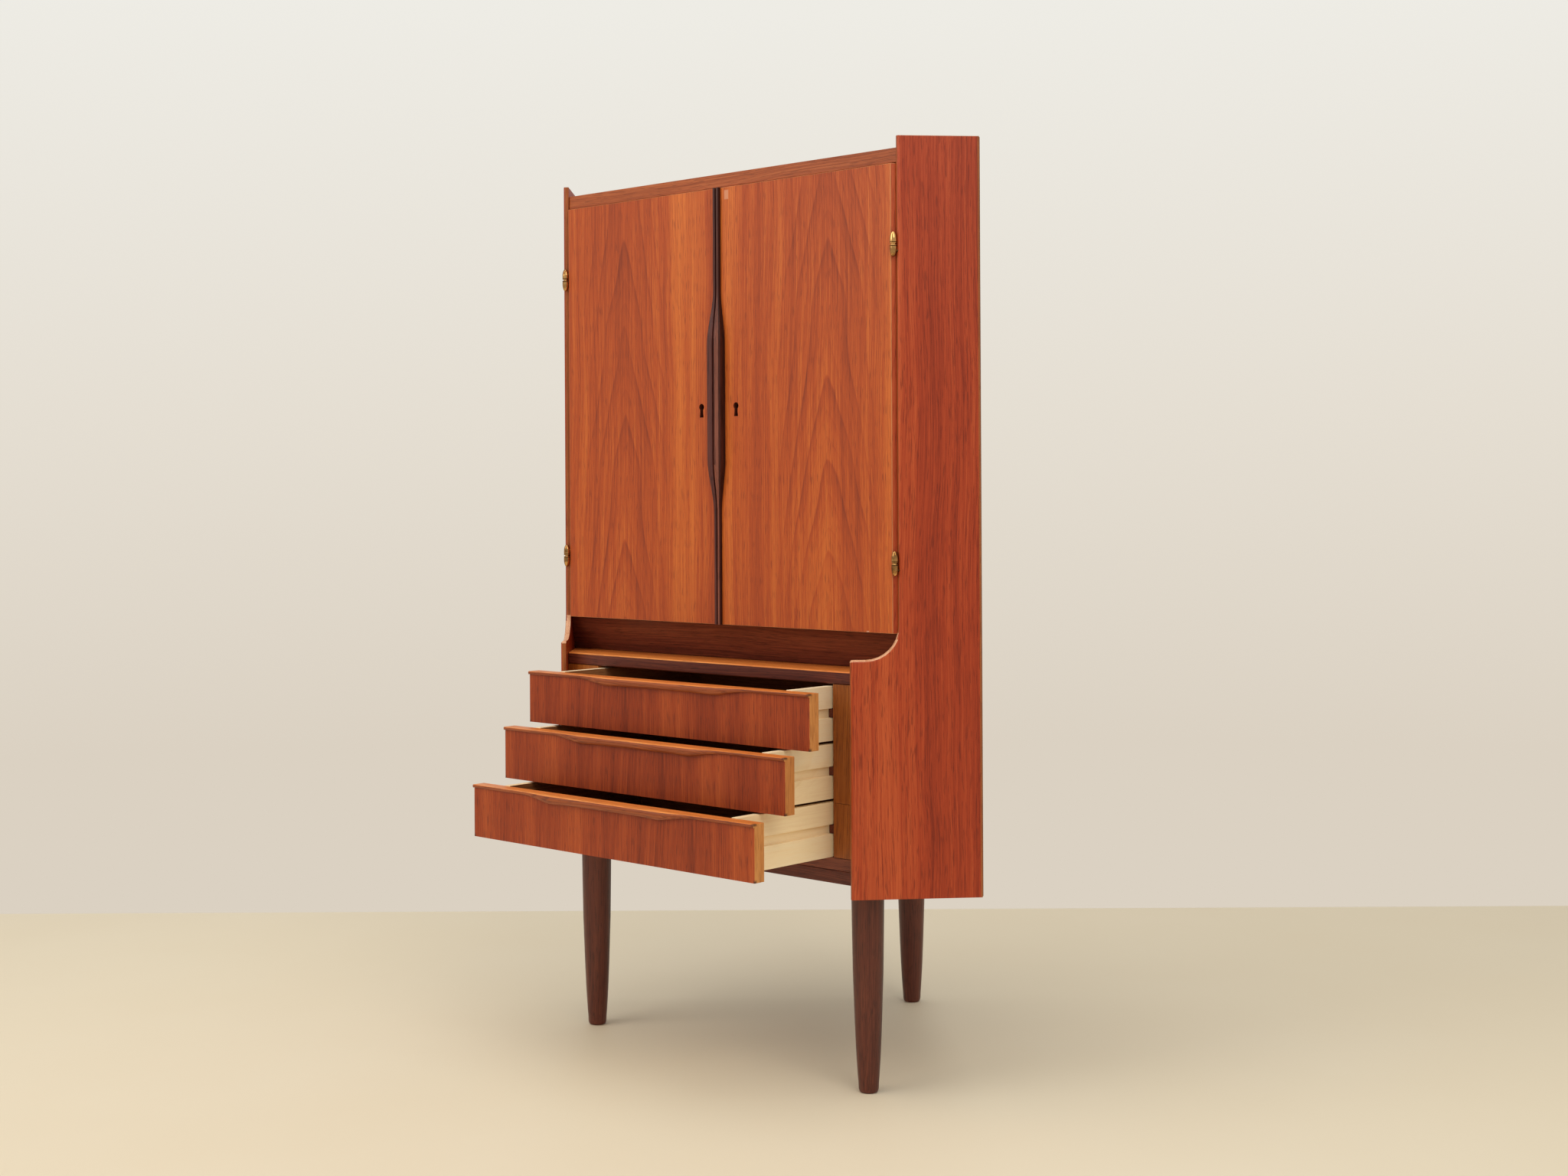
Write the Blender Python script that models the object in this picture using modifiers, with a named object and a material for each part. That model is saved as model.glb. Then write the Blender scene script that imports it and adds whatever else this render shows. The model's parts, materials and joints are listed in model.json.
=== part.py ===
"""Corner cabinet in teak: two doors above, three drawers below, on three turned legs.

The case is a five-sided box that fits a room corner: a straight front, two side panels that flare out
from it, and two back panels that meet behind. Case coordinates have y = 0 at the lower front corners
of the side panels, +Y towards the room corner and z = 0 on the floor. Every object is then moved
along Y, so that the world origin is under the middle of the whole cabinet. The drawers stand open.
"""

import math

import bmesh
import bpy
from mathutils import Matrix, Vector

# Clearances
GAP = 0.0003
PIVOT_CLEARANCE = 0.0003
DOWEL_CLEARANCE = 0.0003

# Side panels: flare from the front line, and outline in their own plane
FLARE = math.radians(48)
FRONT_HALF = 0.327
PANEL_LENGTH = 0.200
PANEL_THICK = 0.009
UPPER_SETBACK = 0.055
COVE_RADIUS = 0.050
STEP_NOSE_RADIUS = 0.004
FRONT_ARRIS = 0.0045
BACK_ARRIS = 0.0035

# Back panels and the post in the rear corner
BACK_THICK = 0.006
BACK_PROUD = 0.0015
POST_SIDE = 0.018
REAR_CUT = 0.030

# Heights, from the floor up
PANEL_FOOT = 0.303
BOARD_ABOVE_FOOT = 0.014
BOARD_THICK = 0.020
RAIL_HEIGHT = 0.0195
DRAWER_HEIGHT = 0.085
DRAWER_PITCH = 0.08865
FRONT_BELOW_RAIL_TOP = 0.0015
FRONT_BELOW_SHELF = 0.0042
STEP_ABOVE_SHELF = 0.021
RISER_HEIGHT = 0.0577
FLOOR_THICK = 0.018
DOOR_ABOVE_FLOOR = 0.0015
DOOR_HEIGHT = 0.7086
DOOR_TOP_GAP = 0.0016
TOP_THICK = 0.0223
PANEL_ABOVE_TOP = 0.0165

# Face of the drawer case
FACE_Y = 0.030
STILE_DEPTH = 0.018
STILE_WIDTH = 0.0763
PARTITION_THICK = 0.012
PARTITION_BACK_GAP = 0.003

# Upper case
TOP_BOARD_BEHIND_DOOR_FACE = 0.008
FLOOR_BEHIND_DOORS = 0.0015
RISER_LEAN = 0.0295
RISER_THICK = 0.018
SHELF_FRONT = 0.115
SHELF_THICK = 0.015
SHELF_SHARES = (0.32, 0.65)

# Doors, pulls and locks
DOOR_THICK = 0.019
DOOR_SEAM = 0.001
DOOR_EDGE_GAP = 0.0004
DOOR_MITRE = 0.014
KEYHOLE_X = 0.039
KEYHOLE_SHARE = 0.4925
KEYHOLE_RADIUS = 0.0056
KEYHOLE_SLOT = 0.0036
KEYHOLE_DROP = 0.0168
KEYHOLE_FOOT = 0.0045
KEYHOLE_RISE = 0.005
LOCK_WIDTH = 0.040
LOCK_HEIGHT = 0.065
LOCK_DEPTH = 0.012
STOP_WIDTH = 0.060
STOP_HEIGHT = 0.014
STOP_DEPTH = 0.018
PULL_END_WIDTH = 0.0049
PULL_MIDDLE_WIDTH = 0.0130
PULL_END_RISE = 0.0055
PULL_MIDDLE_RISE = 0.0136
PULL_HOLLOW = 0.10
PULL_EDGE_EASE = 0.0004
PULL_FULL_SHARES = (0.387, 0.641)
PULL_TAPER_SHARES = (0.260, 0.761)

# Bullet hinges
HINGE_HEIGHT = 0.0386
HINGE_RADIUS = 0.0052
HINGE_SPLIT = 0.0004
HINGE_TIP_RADIUS = 0.0022
HINGE_DOME = 0.009
HINGE_PIVOT_RADIUS = 0.0015
HINGE_PIVOT_LENGTH = 0.012
HINGE_ARM_RADIUS = 0.002
HINGE_ARM_LENGTH = 0.024
HINGE_ARM_OFFSET = 0.010
PIN_START_SHARE = 0.7
HINGE_OFF_PANEL = 0.0056
HINGE_OFF_CENTRE = 0.00105
HINGE_TOP_SHARE = 0.827
HINGE_LOW_SHARE = 0.1493
DOOR_ARM_DIRECTION = Vector((-0.8, 0.6, 0.0))

# Drawers
DRAWER_NAMES = ("low", "middle", "top")
DRAWER_OPEN = (0.2083, 0.1427, 0.0890)
FRONT_INSET = 0.011
FRONT_THICK = 0.020
LIP_RISE = 0.0037
LIP_HEIGHT = 0.005
GRIP_RISE = 0.009
GRIP_HEIGHT = 0.0135
GRIP_HALF = 0.118
GRIP_TAPER = 0.075
BOX_CLEARANCE = 0.0035
SIDE_THICK = 0.012
SIDE_ABOVE_FRONT = 0.0008
SIDE_ABOVE_FRONT_FOOT = 0.002
DRAWER_BACK_THICK = 0.010
DRAWER_BACK_DROP = 0.008
DRAWER_BOTTOM_THICK = 0.005
DRAWER_BOTTOM_LIFT = 0.006
DRAWER_REAR_GAP = 0.010
GROOVE_BELOW_TOP = 0.0413
GROOVE_HEIGHT = 0.0142
GROOVE_DEPTH = 0.006
RUNNER_HEIGHT = 0.013
RUNNER_SIDE_CLEARANCE = 0.0005

# Legs
LEG_TOP_RADIUS = 0.0253
LEG_SHOULDER_RADIUS = 0.0235
LEG_ANKLE_RADIUS = 0.018
LEG_FOOT_RADIUS = 0.015
LEG_SOLE_RADIUS = 0.0125
LEG_SHOULDER = 0.184
LEG_ANKLE = 0.045
LEG_FOOT = 0.008
LEG_SWELL = 0.0004
LEG_FOOT_ROUND = 0.0006
TENON_RADIUS = 0.012
TENON_LENGTH = 0.016
FRONT_LEG_INSET = 0.0204
FRONT_LEG_BACK = 0.0614
REAR_LEG_BEFORE_CUT = 0.0297

# Heights that follow
BOARD_Z = PANEL_FOOT + BOARD_ABOVE_FOOT
RAIL_Z = BOARD_Z + BOARD_THICK
RAIL_TOP = RAIL_Z + RAIL_HEIGHT
FIRST_FRONT_Z = RAIL_TOP - FRONT_BELOW_RAIL_TOP
SHELF_Z = FIRST_FRONT_Z + 2 * DRAWER_PITCH + DRAWER_HEIGHT + FRONT_BELOW_SHELF
SHELF_TOP = SHELF_Z + BOARD_THICK
STEP_Z = SHELF_TOP + STEP_ABOVE_SHELF
FLOOR_Z = SHELF_TOP + RISER_HEIGHT + GAP
FLOOR_TOP = FLOOR_Z + FLOOR_THICK
DOOR_Z = FLOOR_Z + DOOR_ABOVE_FLOOR
DOOR_TOP = DOOR_Z + DOOR_HEIGHT
TOP_Z = DOOR_TOP + DOOR_TOP_GAP
TOP_TOP = TOP_Z + TOP_THICK
PANEL_TOP = TOP_TOP + PANEL_ABOVE_TOP

# Plan that follows
ALONG = Vector((math.cos(FLARE), math.sin(FLARE), 0.0))
OUTWARD = Vector((math.sin(FLARE), -math.cos(FLARE), 0.0))
FRONT_CORNER = Vector((FRONT_HALF, 0.0, 0.0))
BACK_CORNER = FRONT_CORNER + PANEL_LENGTH * ALONG
SETBACK_ALONG = UPPER_SETBACK / math.sin(FLARE)
UPPER_CORNER = FRONT_CORNER + SETBACK_ALONG * ALONG
BACK_OUTER = BACK_CORNER.x + BACK_CORNER.y + BACK_PROUD * math.sqrt(2)
BACK_INNER = BACK_OUTER - BACK_THICK * math.sqrt(2)
REAR_FLAT = BACK_INNER - REAR_CUT
DOOR_Y = UPPER_SETBACK
HINGE_AXIS = UPPER_CORNER - HINGE_OFF_PANEL * ALONG - (PANEL_THICK / 2 - HINGE_OFF_CENTRE) * OUTWARD
FRONT_BACK_Y = FACE_Y - GAP
FRONT_FACE_Y = FRONT_BACK_Y - FRONT_THICK
WORLD_Y = (FRONT_FACE_Y - GRIP_RISE - DRAWER_OPEN[0] + BACK_OUTER) / 2


def inner_half(y):
    """Half the width between the side panels' inner faces at depth y."""
    inner = FRONT_CORNER - PANEL_THICK * OUTWARD
    return inner.x + (y - inner.y) / math.tan(FLARE)


BOX_HALF = inner_half(FACE_Y) - STILE_WIDTH - BOX_CLEARANCE
PARTITION_X = inner_half(FACE_Y) - STILE_WIDTH
CASE_DEPTH = BACK_INNER - PARTITION_X - PARTITION_THICK - PARTITION_BACK_GAP
DRAWER_REAR = BACK_INNER - BOX_HALF - DRAWER_REAR_GAP


def make_material(name, colour, roughness, metallic=0.0):
    """A Principled material of one colour."""
    made = bpy.data.materials.new(name)
    made.use_nodes = True
    shader = made.node_tree.nodes["Principled BSDF"]
    shader.inputs["Base Color"].default_value = (*colour, 1.0)
    shader.inputs["Roughness"].default_value = roughness
    shader.inputs["Metallic"].default_value = metallic
    return made


def add_part(name, mesh, look, pivot=None):
    """Adds a mesh given in case coordinates, with the object's origin on its pivot."""
    origin = Vector((0.0, 0.0, 0.0)) if pivot is None else Vector(pivot)
    mesh.transform(Matrix.Translation(-origin))
    mesh.name = name
    mesh.materials.clear()
    mesh.materials.append(look)
    made = bpy.data.objects.new(name, mesh)
    made.location = origin - Vector((0.0, WORLD_Y, 0.0))
    cabinet.objects.link(made)
    return made


def add_cutter(name, mesh):
    """A hidden object, in case coordinates, that only cuts others."""
    mesh.name = name
    made = bpy.data.objects.new(name, mesh)
    made.location = (0.0, -WORLD_Y, 0.0)
    made.hide_render = True
    made.display_type = "WIRE"
    cutters.objects.link(made)
    return made


def combine(target, other, operation="DIFFERENCE"):
    """Puts a Boolean on the target."""
    modifier = target.modifiers.new(other.name, "BOOLEAN")
    modifier.operation = operation
    modifier.solver = "EXACT"
    modifier.object = other


def mesh_from(shape):
    """Turns a bmesh into a mesh with its faces pointing out."""
    bmesh.ops.recalc_face_normals(shape, faces=shape.faces)
    mesh = bpy.data.meshes.new("shape")
    shape.to_mesh(mesh)
    shape.free()
    return mesh


def box_shape(low, high):
    """A box between two corners, as a bmesh."""
    low = Vector(low)
    high = Vector(high)
    size = high - low
    shape = bmesh.new()
    place = Matrix.Translation((low + high) / 2) @ Matrix.Diagonal((*size, 1.0))
    bmesh.ops.create_cube(shape, size=1.0, matrix=place)
    return shape


def box_mesh(low, high):
    """A box between two corners, as a mesh."""
    return mesh_from(box_shape(low, high))


def trim(shape, point, normal):
    """Cuts away all of a closed bmesh that lies beyond a plane, and closes the cut."""
    geometry = shape.verts[:] + shape.edges[:] + shape.faces[:]
    bmesh.ops.bisect_plane(
        shape, geom=geometry, plane_co=point, plane_no=normal, clear_outer=True
    )
    rim = [edge for edge in shape.edges if edge.is_boundary]
    bmesh.ops.holes_fill(shape, edges=rim)


def trim_to_sides(shape, gap=GAP):
    """Trims a shape to the space between the two side panels."""
    face = FRONT_CORNER - (PANEL_THICK + gap) * OUTWARD
    for side in (1, -1):
        trim(shape, (side * face.x, face.y, 0.0), (side * OUTWARD.x, OUTWARD.y, 0.0))


def fitted_board(low_y, low_z, high_z):
    """A level board that fills the case from a front edge to the back panels and the corner post."""
    shape = box_shape((-1.0, low_y, low_z), (1.0, REAR_FLAT, high_z))
    trim_to_sides(shape)
    reach = BACK_INNER - GAP * math.sqrt(2)
    for side in (1, -1):
        trim(shape, (0.0, reach, 0.0), (side, 1.0, 0.0))
    return mesh_from(shape)


def outline_mesh(points, thickness, frame):
    """A flat outline filled and extruded to a thickness, placed by a matrix."""
    curve = bpy.data.curves.new("outline", "CURVE")
    curve.dimensions = "2D"
    curve.fill_mode = "BOTH"
    curve.extrude = thickness / 2
    spline = curve.splines.new("POLY")
    spline.points.add(len(points) - 1)
    for spot, (x, y) in zip(spline.points, points):
        spot.co = (x, y, 0.0, 1.0)
    spline.use_cyclic_u = True
    guide = bpy.data.objects.new("outline", curve)
    bpy.context.scene.collection.objects.link(guide)
    evaluated = guide.evaluated_get(bpy.context.evaluated_depsgraph_get())
    mesh = bpy.data.meshes.new_from_object(evaluated)
    bpy.data.objects.remove(guide)
    bpy.data.curves.remove(curve)
    shape = bmesh.new()
    shape.from_mesh(mesh)
    bmesh.ops.remove_doubles(shape, verts=shape.verts, dist=1e-6)
    bmesh.ops.dissolve_limit(shape, angle_limit=1e-3, verts=shape.verts, edges=shape.edges)
    bmesh.ops.transform(shape, matrix=frame, verts=shape.verts)
    bpy.data.meshes.remove(mesh)
    return mesh_from(shape)


def frame_of(origin, across, up):
    """A matrix that takes local X, Y and Z to two directions and the one square to them."""
    normal = Vector(across).cross(Vector(up))
    columns = Matrix((across, up, normal)).transposed().to_4x4()
    return Matrix.Translation(origin) @ columns


def arc(centre, radius, start, end, steps):
    """Points along an arc, angles in degrees."""
    points = []
    for step in range(steps + 1):
        angle = math.radians(start + (end - start) * step / steps)
        points.append((centre[0] + radius * math.cos(angle), centre[1] + radius * math.sin(angle)))
    return points


def loft_mesh(sections):
    """A closed body through sections that all have the same number of points."""
    shape = bmesh.new()
    rings = [[shape.verts.new(point) for point in section] for section in sections]
    count = len(rings[0])
    for ring, following in zip(rings, rings[1:]):
        for index in range(count):
            nearby = (index + 1) % count
            shape.faces.new((ring[index], ring[nearby], following[nearby], following[index]))
    shape.faces.new(rings[0])
    shape.faces.new(rings[-1])
    return mesh_from(shape)


def turned_mesh(profile, steps):
    """A profile of radius and height, top to bottom down the outer side, turned about Z."""
    mesh = bpy.data.meshes.new("profile")
    edges = [(index, index + 1) for index in range(len(profile) - 1)]
    mesh.from_pydata([(radius, 0.0, height) for radius, height in profile], edges, [])
    holder = bpy.data.objects.new("profile", mesh)
    bpy.context.scene.collection.objects.link(holder)
    screw = holder.modifiers.new("turn", "SCREW")
    screw.steps = steps
    screw.render_steps = steps
    screw.use_merge_vertices = True
    screw.merge_threshold = 1e-5
    evaluated = holder.evaluated_get(bpy.context.evaluated_depsgraph_get())
    turned = bpy.data.meshes.new_from_object(evaluated)
    bpy.data.objects.remove(holder)
    turned.shade_smooth()
    turned.set_sharp_from_angle(angle=math.radians(40))
    return turned


def rod_mesh(start, direction, length, radius, steps=12):
    """A round rod from a point along a direction."""
    shape = bmesh.new()
    bmesh.ops.create_cone(
        shape, cap_ends=True, segments=steps, radius1=radius, radius2=radius, depth=length
    )
    turn = Vector(direction).normalized().to_track_quat("Z", "Y").to_matrix().to_4x4()
    centre = Vector(start) + Vector(direction).normalized() * length / 2
    bmesh.ops.transform(shape, matrix=Matrix.Translation(centre) @ turn, verts=shape.verts)
    return mesh_from(shape)


def mirrored(mesh):
    """A copy of a mesh for the other side of the cabinet."""
    copy = mesh.copy()
    copy.transform(Matrix.Diagonal((-1.0, 1.0, 1.0, 1.0)))
    copy.flip_normals()
    return copy


def flipped(point, side):
    """A point or direction on the right side, moved to the side given as 1 or -1."""
    return Vector((side * point[0], point[1], point[2]))


def smooth_step(value):
    """Eases from 0 to 1."""
    value = min(1.0, max(0.0, value))
    return value * value * (3.0 - 2.0 * value)


def side_panel_mesh():
    """The right side panel: stepped front outline with a cove, and rounded outer arrises."""
    cove_centre = (SETBACK_ALONG - COVE_RADIUS, STEP_Z + COVE_RADIUS)
    nose_centre = (STEP_NOSE_RADIUS, STEP_Z - STEP_NOSE_RADIUS)
    outline = [(0.0, PANEL_FOOT), (PANEL_LENGTH, PANEL_FOOT)]
    outline += [(PANEL_LENGTH, PANEL_TOP), (SETBACK_ALONG, PANEL_TOP)]
    outline += arc(cove_centre, COVE_RADIUS, 0, -90, 8)
    outline += arc(nose_centre, STEP_NOSE_RADIUS, 90, 180, 3)
    middle = FRONT_CORNER - OUTWARD * PANEL_THICK / 2
    mesh = outline_mesh(outline, PANEL_THICK, frame_of(middle, ALONG, (0.0, 0.0, 1.0)))
    shape = bmesh.new()
    shape.from_mesh(mesh)
    for from_start, size in ((True, FRONT_ARRIS), (False, BACK_ARRIS)):
        bmesh.ops.bevel(
            shape,
            geom=outer_arris(shape, from_start),
            offset=size,
            segments=3,
            profile=0.5,
            affect="EDGES",
        )
    bpy.data.meshes.remove(mesh)
    return mesh_from(shape)


def outer_arris(shape, at_front):
    """The edges on a side panel's outer face along its front outline, or along its back."""
    found = []
    for edge in shape.edges:
        spots = [vertex.co - FRONT_CORNER for vertex in edge.verts]
        if max(abs(spot.dot(OUTWARD)) for spot in spots) > 1e-5:
            continue
        along = [spot.dot(ALONG) for spot in spots]
        level = abs(spots[0].z - spots[1].z) < 1e-6
        end_edge = level and max(along) > SETBACK_ALONG + 1e-4
        in_front = max(along) < SETBACK_ALONG + 1e-4
        behind = min(along) > PANEL_LENGTH - 1e-4
        if not end_edge and (in_front if at_front else behind):
            found.append(edge)
    return found


def add_case(looks):
    """The fixed boards of both cases."""
    right = side_panel_mesh()
    left = mirrored(right)
    panels = {1: add_part("side_panel_right", right, looks["teak"])}
    panels[-1] = add_part("side_panel_left", left, looks["teak"])
    add_part("top_board", fitted_board(DOOR_Y + TOP_BOARD_BEHIND_DOOR_FACE, TOP_Z, TOP_TOP), looks["teak"])
    floor_y = DOOR_Y + DOOR_THICK + FLOOR_BEHIND_DOORS
    add_part("cabinet_floor", fitted_board(floor_y, FLOOR_Z, FLOOR_TOP), looks["teak"])
    add_part("drawer_case_top", fitted_board(FACE_Y, SHELF_Z, SHELF_TOP), looks["teak"])
    board = add_part("bottom_board", fitted_board(FACE_Y, BOARD_Z, RAIL_Z), looks["dark"])
    for number, share in enumerate(SHELF_SHARES, 1):
        low = FLOOR_TOP + share * (TOP_Z - FLOOR_TOP)
        shelf = fitted_board(SHELF_FRONT, low, low + SHELF_THICK)
        add_part(f"inner_shelf_{number}", shelf, looks["plain"])
    add_riser(looks, floor_y)
    add_back(looks)
    return panels, board


def add_riser(looks, top_y):
    """The leaning board between the drawer case and the floor of the door case."""
    foot = SHELF_TOP + GAP
    head = FLOOR_Z - GAP
    back_top = top_y + RISER_THICK
    outline = [(top_y, head), (top_y + RISER_LEAN, foot), (back_top + RISER_LEAN, foot), (back_top, head)]
    frame = frame_of((0.0, 0.0, 0.0), (0.0, 1.0, 0.0), (0.0, 0.0, 1.0))
    mesh = outline_mesh(outline, 2.0, frame)
    shape = bmesh.new()
    shape.from_mesh(mesh)
    trim_to_sides(shape)
    bpy.data.meshes.remove(mesh)
    add_part("riser", mesh_from(shape), looks["dark"])


def add_back(looks):
    """The two thin back panels and the post that joins them in the rear corner."""
    shape = box_shape((GAP / 2, 0.0, PANEL_FOOT), (1.0, 1.0, PANEL_TOP))
    face = FRONT_CORNER - (PANEL_THICK + GAP) * OUTWARD
    trim(shape, face, OUTWARD)
    trim(shape, (0.0, BACK_OUTER, 0.0), (1.0, 1.0, 0.0))
    trim(shape, (0.0, BACK_INNER, 0.0), (-1.0, -1.0, 0.0))
    right = mesh_from(shape)
    left = mirrored(right)
    add_part("back_panel_right", right, looks["ply"])
    add_part("back_panel_left", left, looks["ply"])
    half = POST_SIDE / 2
    post = box_mesh((-half, -half, BOARD_Z), (half, half, TOP_TOP))
    post.transform(Matrix.Rotation(math.radians(45), 4, "Z"))
    diagonal = POST_SIDE / math.sqrt(2)
    post.transform(Matrix.Translation((0.0, BACK_INNER - 2 * GAP - diagonal, 0.0)))
    add_part("corner_post", post, looks["plain"])


def add_face_frame(looks):
    """The rail, stiles and partitions around the drawers."""
    shape = box_shape((-1.0, FACE_Y, RAIL_Z + GAP), (1.0, FACE_Y + STILE_DEPTH, RAIL_TOP))
    trim_to_sides(shape)
    add_part("bottom_rail", mesh_from(shape), looks["dark"])
    joint = FIRST_FRONT_Z + DRAWER_HEIGHT
    spans = {"lower": (RAIL_TOP + GAP, joint - GAP), "upper": (joint, SHELF_Z - GAP)}
    for level, (low, high) in spans.items():
        shape = box_shape((PARTITION_X, FACE_Y, low), (1.0, FACE_Y + STILE_DEPTH, high))
        trim_to_sides(shape)
        right = mesh_from(shape)
        left = mirrored(right)
        add_part(f"stile_right_{level}", right, looks["stile"])
        add_part(f"stile_left_{level}", left, looks["stile"])
    low = (PARTITION_X, FACE_Y + STILE_DEPTH + GAP, RAIL_Z + GAP)
    high = (PARTITION_X + PARTITION_THICK, CASE_DEPTH, SHELF_Z - GAP)
    right = box_mesh(low, high)
    left = mirrored(right)
    add_part("partition_right", right, looks["plain"])
    add_part("partition_left", left, looks["plain"])


def add_leg(name, x, y, looks, board):
    """A tapered turned leg, whose tenon stands in a hole of the bottom board."""
    shoulder = BOARD_Z - GAP
    profile = [
        (0.0, shoulder + TENON_LENGTH),
        (TENON_RADIUS, shoulder + TENON_LENGTH),
        (TENON_RADIUS, shoulder),
        (LEG_TOP_RADIUS, shoulder),
        (LEG_SHOULDER_RADIUS, LEG_SHOULDER),
        ((LEG_SHOULDER_RADIUS + LEG_ANKLE_RADIUS) / 2 + LEG_SWELL, (LEG_SHOULDER + LEG_ANKLE) / 2),
        (LEG_ANKLE_RADIUS, LEG_ANKLE),
        (LEG_FOOT_RADIUS, LEG_FOOT),
        ((LEG_FOOT_RADIUS + LEG_SOLE_RADIUS) / 2 + LEG_FOOT_ROUND, LEG_FOOT / 4),
        (LEG_SOLE_RADIUS, 0.0),
        (0.0, 0.0),
    ]
    mesh = turned_mesh(profile, 24)
    mesh.transform(Matrix.Translation((x, y, 0.0)))
    add_part(name, mesh, looks["leg"])
    hole_radius = TENON_RADIUS + DOWEL_CLEARANCE
    hole = rod_mesh((x, y, BOARD_Z - BOARD_THICK), (0, 0, 1), 3 * BOARD_THICK, hole_radius, 24)
    combine(board, add_cutter(f"tenon_hole_{name}", hole))


def add_drawer_front(name, low, travel, looks):
    """The front of a drawer, with a lip along its top that swells into a carved grip."""
    top = low + DRAWER_HEIGHT
    half = FRONT_HALF - FRONT_INSET
    stations = [half, GRIP_HALF + GRIP_TAPER]
    stations += [GRIP_HALF + GRIP_TAPER * (1 - step / 6) for step in range(1, 7)]
    places = [-x for x in stations] + stations[::-1]
    sections = []
    for x in places:
        swell = smooth_step(1.0 - (abs(x) - GRIP_HALF) / GRIP_TAPER)
        rise = LIP_RISE + (GRIP_RISE - LIP_RISE) * swell
        height = LIP_HEIGHT + (GRIP_HEIGHT - LIP_HEIGHT) * swell
        nose = FRONT_FACE_Y - rise
        outline = [
            (FRONT_BACK_Y, low),
            (FRONT_BACK_Y, top),
            (nose + 0.25 * rise, top),
            (nose, top - 0.2 * height),
            (nose, top - 0.55 * height),
            (nose + 0.4 * rise, top - height),
            (FRONT_FACE_Y, top - 0.85 * height),
            (FRONT_FACE_Y, low),
        ]
        sections.append([(x, y - travel, z) for y, z in outline])
    add_part(f"drawer_{name}_front", loft_mesh(sections), looks["teak"], (0.0, -travel, 0.0))


def drawer_side_mesh(low, high, start, end):
    """The right side of a drawer box, with the groove that rides on its runner."""
    outer = BOX_HALF
    inner = BOX_HALF - SIDE_THICK
    groove = high - GROOVE_BELOW_TOP
    deep = outer - GROOVE_DEPTH
    outline = [
        (inner, low),
        (outer, low),
        (outer, groove - GROOVE_HEIGHT / 2),
        (deep, groove - GROOVE_HEIGHT / 2),
        (deep, groove + GROOVE_HEIGHT / 2),
        (outer, groove + GROOVE_HEIGHT / 2),
        (outer, high),
        (inner, high),
    ]
    frame = frame_of((0.0, (start + end) / 2, 0.0), (1.0, 0.0, 0.0), (0.0, 0.0, 1.0))
    return outline_mesh(outline, end - start, frame)


def add_drawer(index, name, looks):
    """One drawer, standing open by its own travel, and the two runners it rides on."""
    travel = DRAWER_OPEN[index]
    low = FIRST_FRONT_Z + index * DRAWER_PITCH
    add_drawer_front(name, low, travel, looks)
    side_low = low + SIDE_ABOVE_FRONT_FOOT
    side_high = low + DRAWER_HEIGHT + SIDE_ABOVE_FRONT
    start = FRONT_BACK_Y + GAP - travel
    end = DRAWER_REAR - travel
    pivot = (0.0, -travel, 0.0)
    right = drawer_side_mesh(side_low, side_high, start, end)
    left = mirrored(right)
    add_part(f"drawer_{name}_side_right", right, looks["pine"], pivot)
    add_part(f"drawer_{name}_side_left", left, looks["pine"], pivot)
    inner = BOX_HALF - SIDE_THICK - GAP
    bottom_low = side_low + DRAWER_BOTTOM_LIFT
    bottom_high = bottom_low + DRAWER_BOTTOM_THICK
    back_start = end - DRAWER_BACK_THICK
    back = box_mesh((-inner, back_start, side_low), (inner, end, side_high - DRAWER_BACK_DROP))
    add_part(f"drawer_{name}_back", back, looks["pine"], pivot)
    bottom = box_mesh((-inner, start, bottom_low), (inner, back_start - GAP, bottom_high))
    add_part(f"drawer_{name}_bottom", bottom, looks["pine"], pivot)
    add_runners(name, side_high - GROOVE_BELOW_TOP, looks)


def add_runners(name, height, looks):
    """The pair of strips on the partitions that one drawer's grooves ride on."""
    low = (BOX_HALF - GROOVE_DEPTH + RUNNER_SIDE_CLEARANCE, FACE_Y, height - RUNNER_HEIGHT / 2)
    high = (PARTITION_X - GAP, CASE_DEPTH - PARTITION_BACK_GAP, height + RUNNER_HEIGHT / 2)
    right = box_mesh(low, high)
    left = mirrored(right)
    add_part(f"runner_{name}_right", right, looks["dark"])
    add_part(f"runner_{name}_left", left, looks["dark"])


def keyhole_mesh():
    """The cutter for the right door's keyhole: a round head over a slot that widens a little."""
    height = DOOR_Z + KEYHOLE_SHARE * DOOR_HEIGHT
    outline = [(-KEYHOLE_FOOT, -KEYHOLE_DROP), (KEYHOLE_FOOT, -KEYHOLE_DROP)]
    outline += arc((0.0, 0.0), KEYHOLE_RADIUS, -50, 230, 14)
    frame = frame_of((KEYHOLE_X, DOOR_Y, height + KEYHOLE_RISE), (1.0, 0.0, 0.0), (0.0, 0.0, 1.0))
    return outline_mesh(outline, 3 * DOOR_THICK, frame)


def door_mesh():
    """The right door: a plain slab whose outer edge is cut on a slant."""
    front_edge = inner_half(DOOR_Y) - DOOR_EDGE_GAP
    outline = [
        (DOOR_SEAM, DOOR_Y),
        (front_edge, DOOR_Y),
        (front_edge + DOOR_MITRE, DOOR_Y + DOOR_THICK),
        (DOOR_SEAM, DOOR_Y + DOOR_THICK),
    ]
    middle = (0.0, 0.0, DOOR_Z + DOOR_HEIGHT / 2)
    frame = frame_of(middle, (1.0, 0.0, 0.0), (0.0, 1.0, 0.0))
    return outline_mesh(outline, DOOR_HEIGHT, frame)


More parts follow.
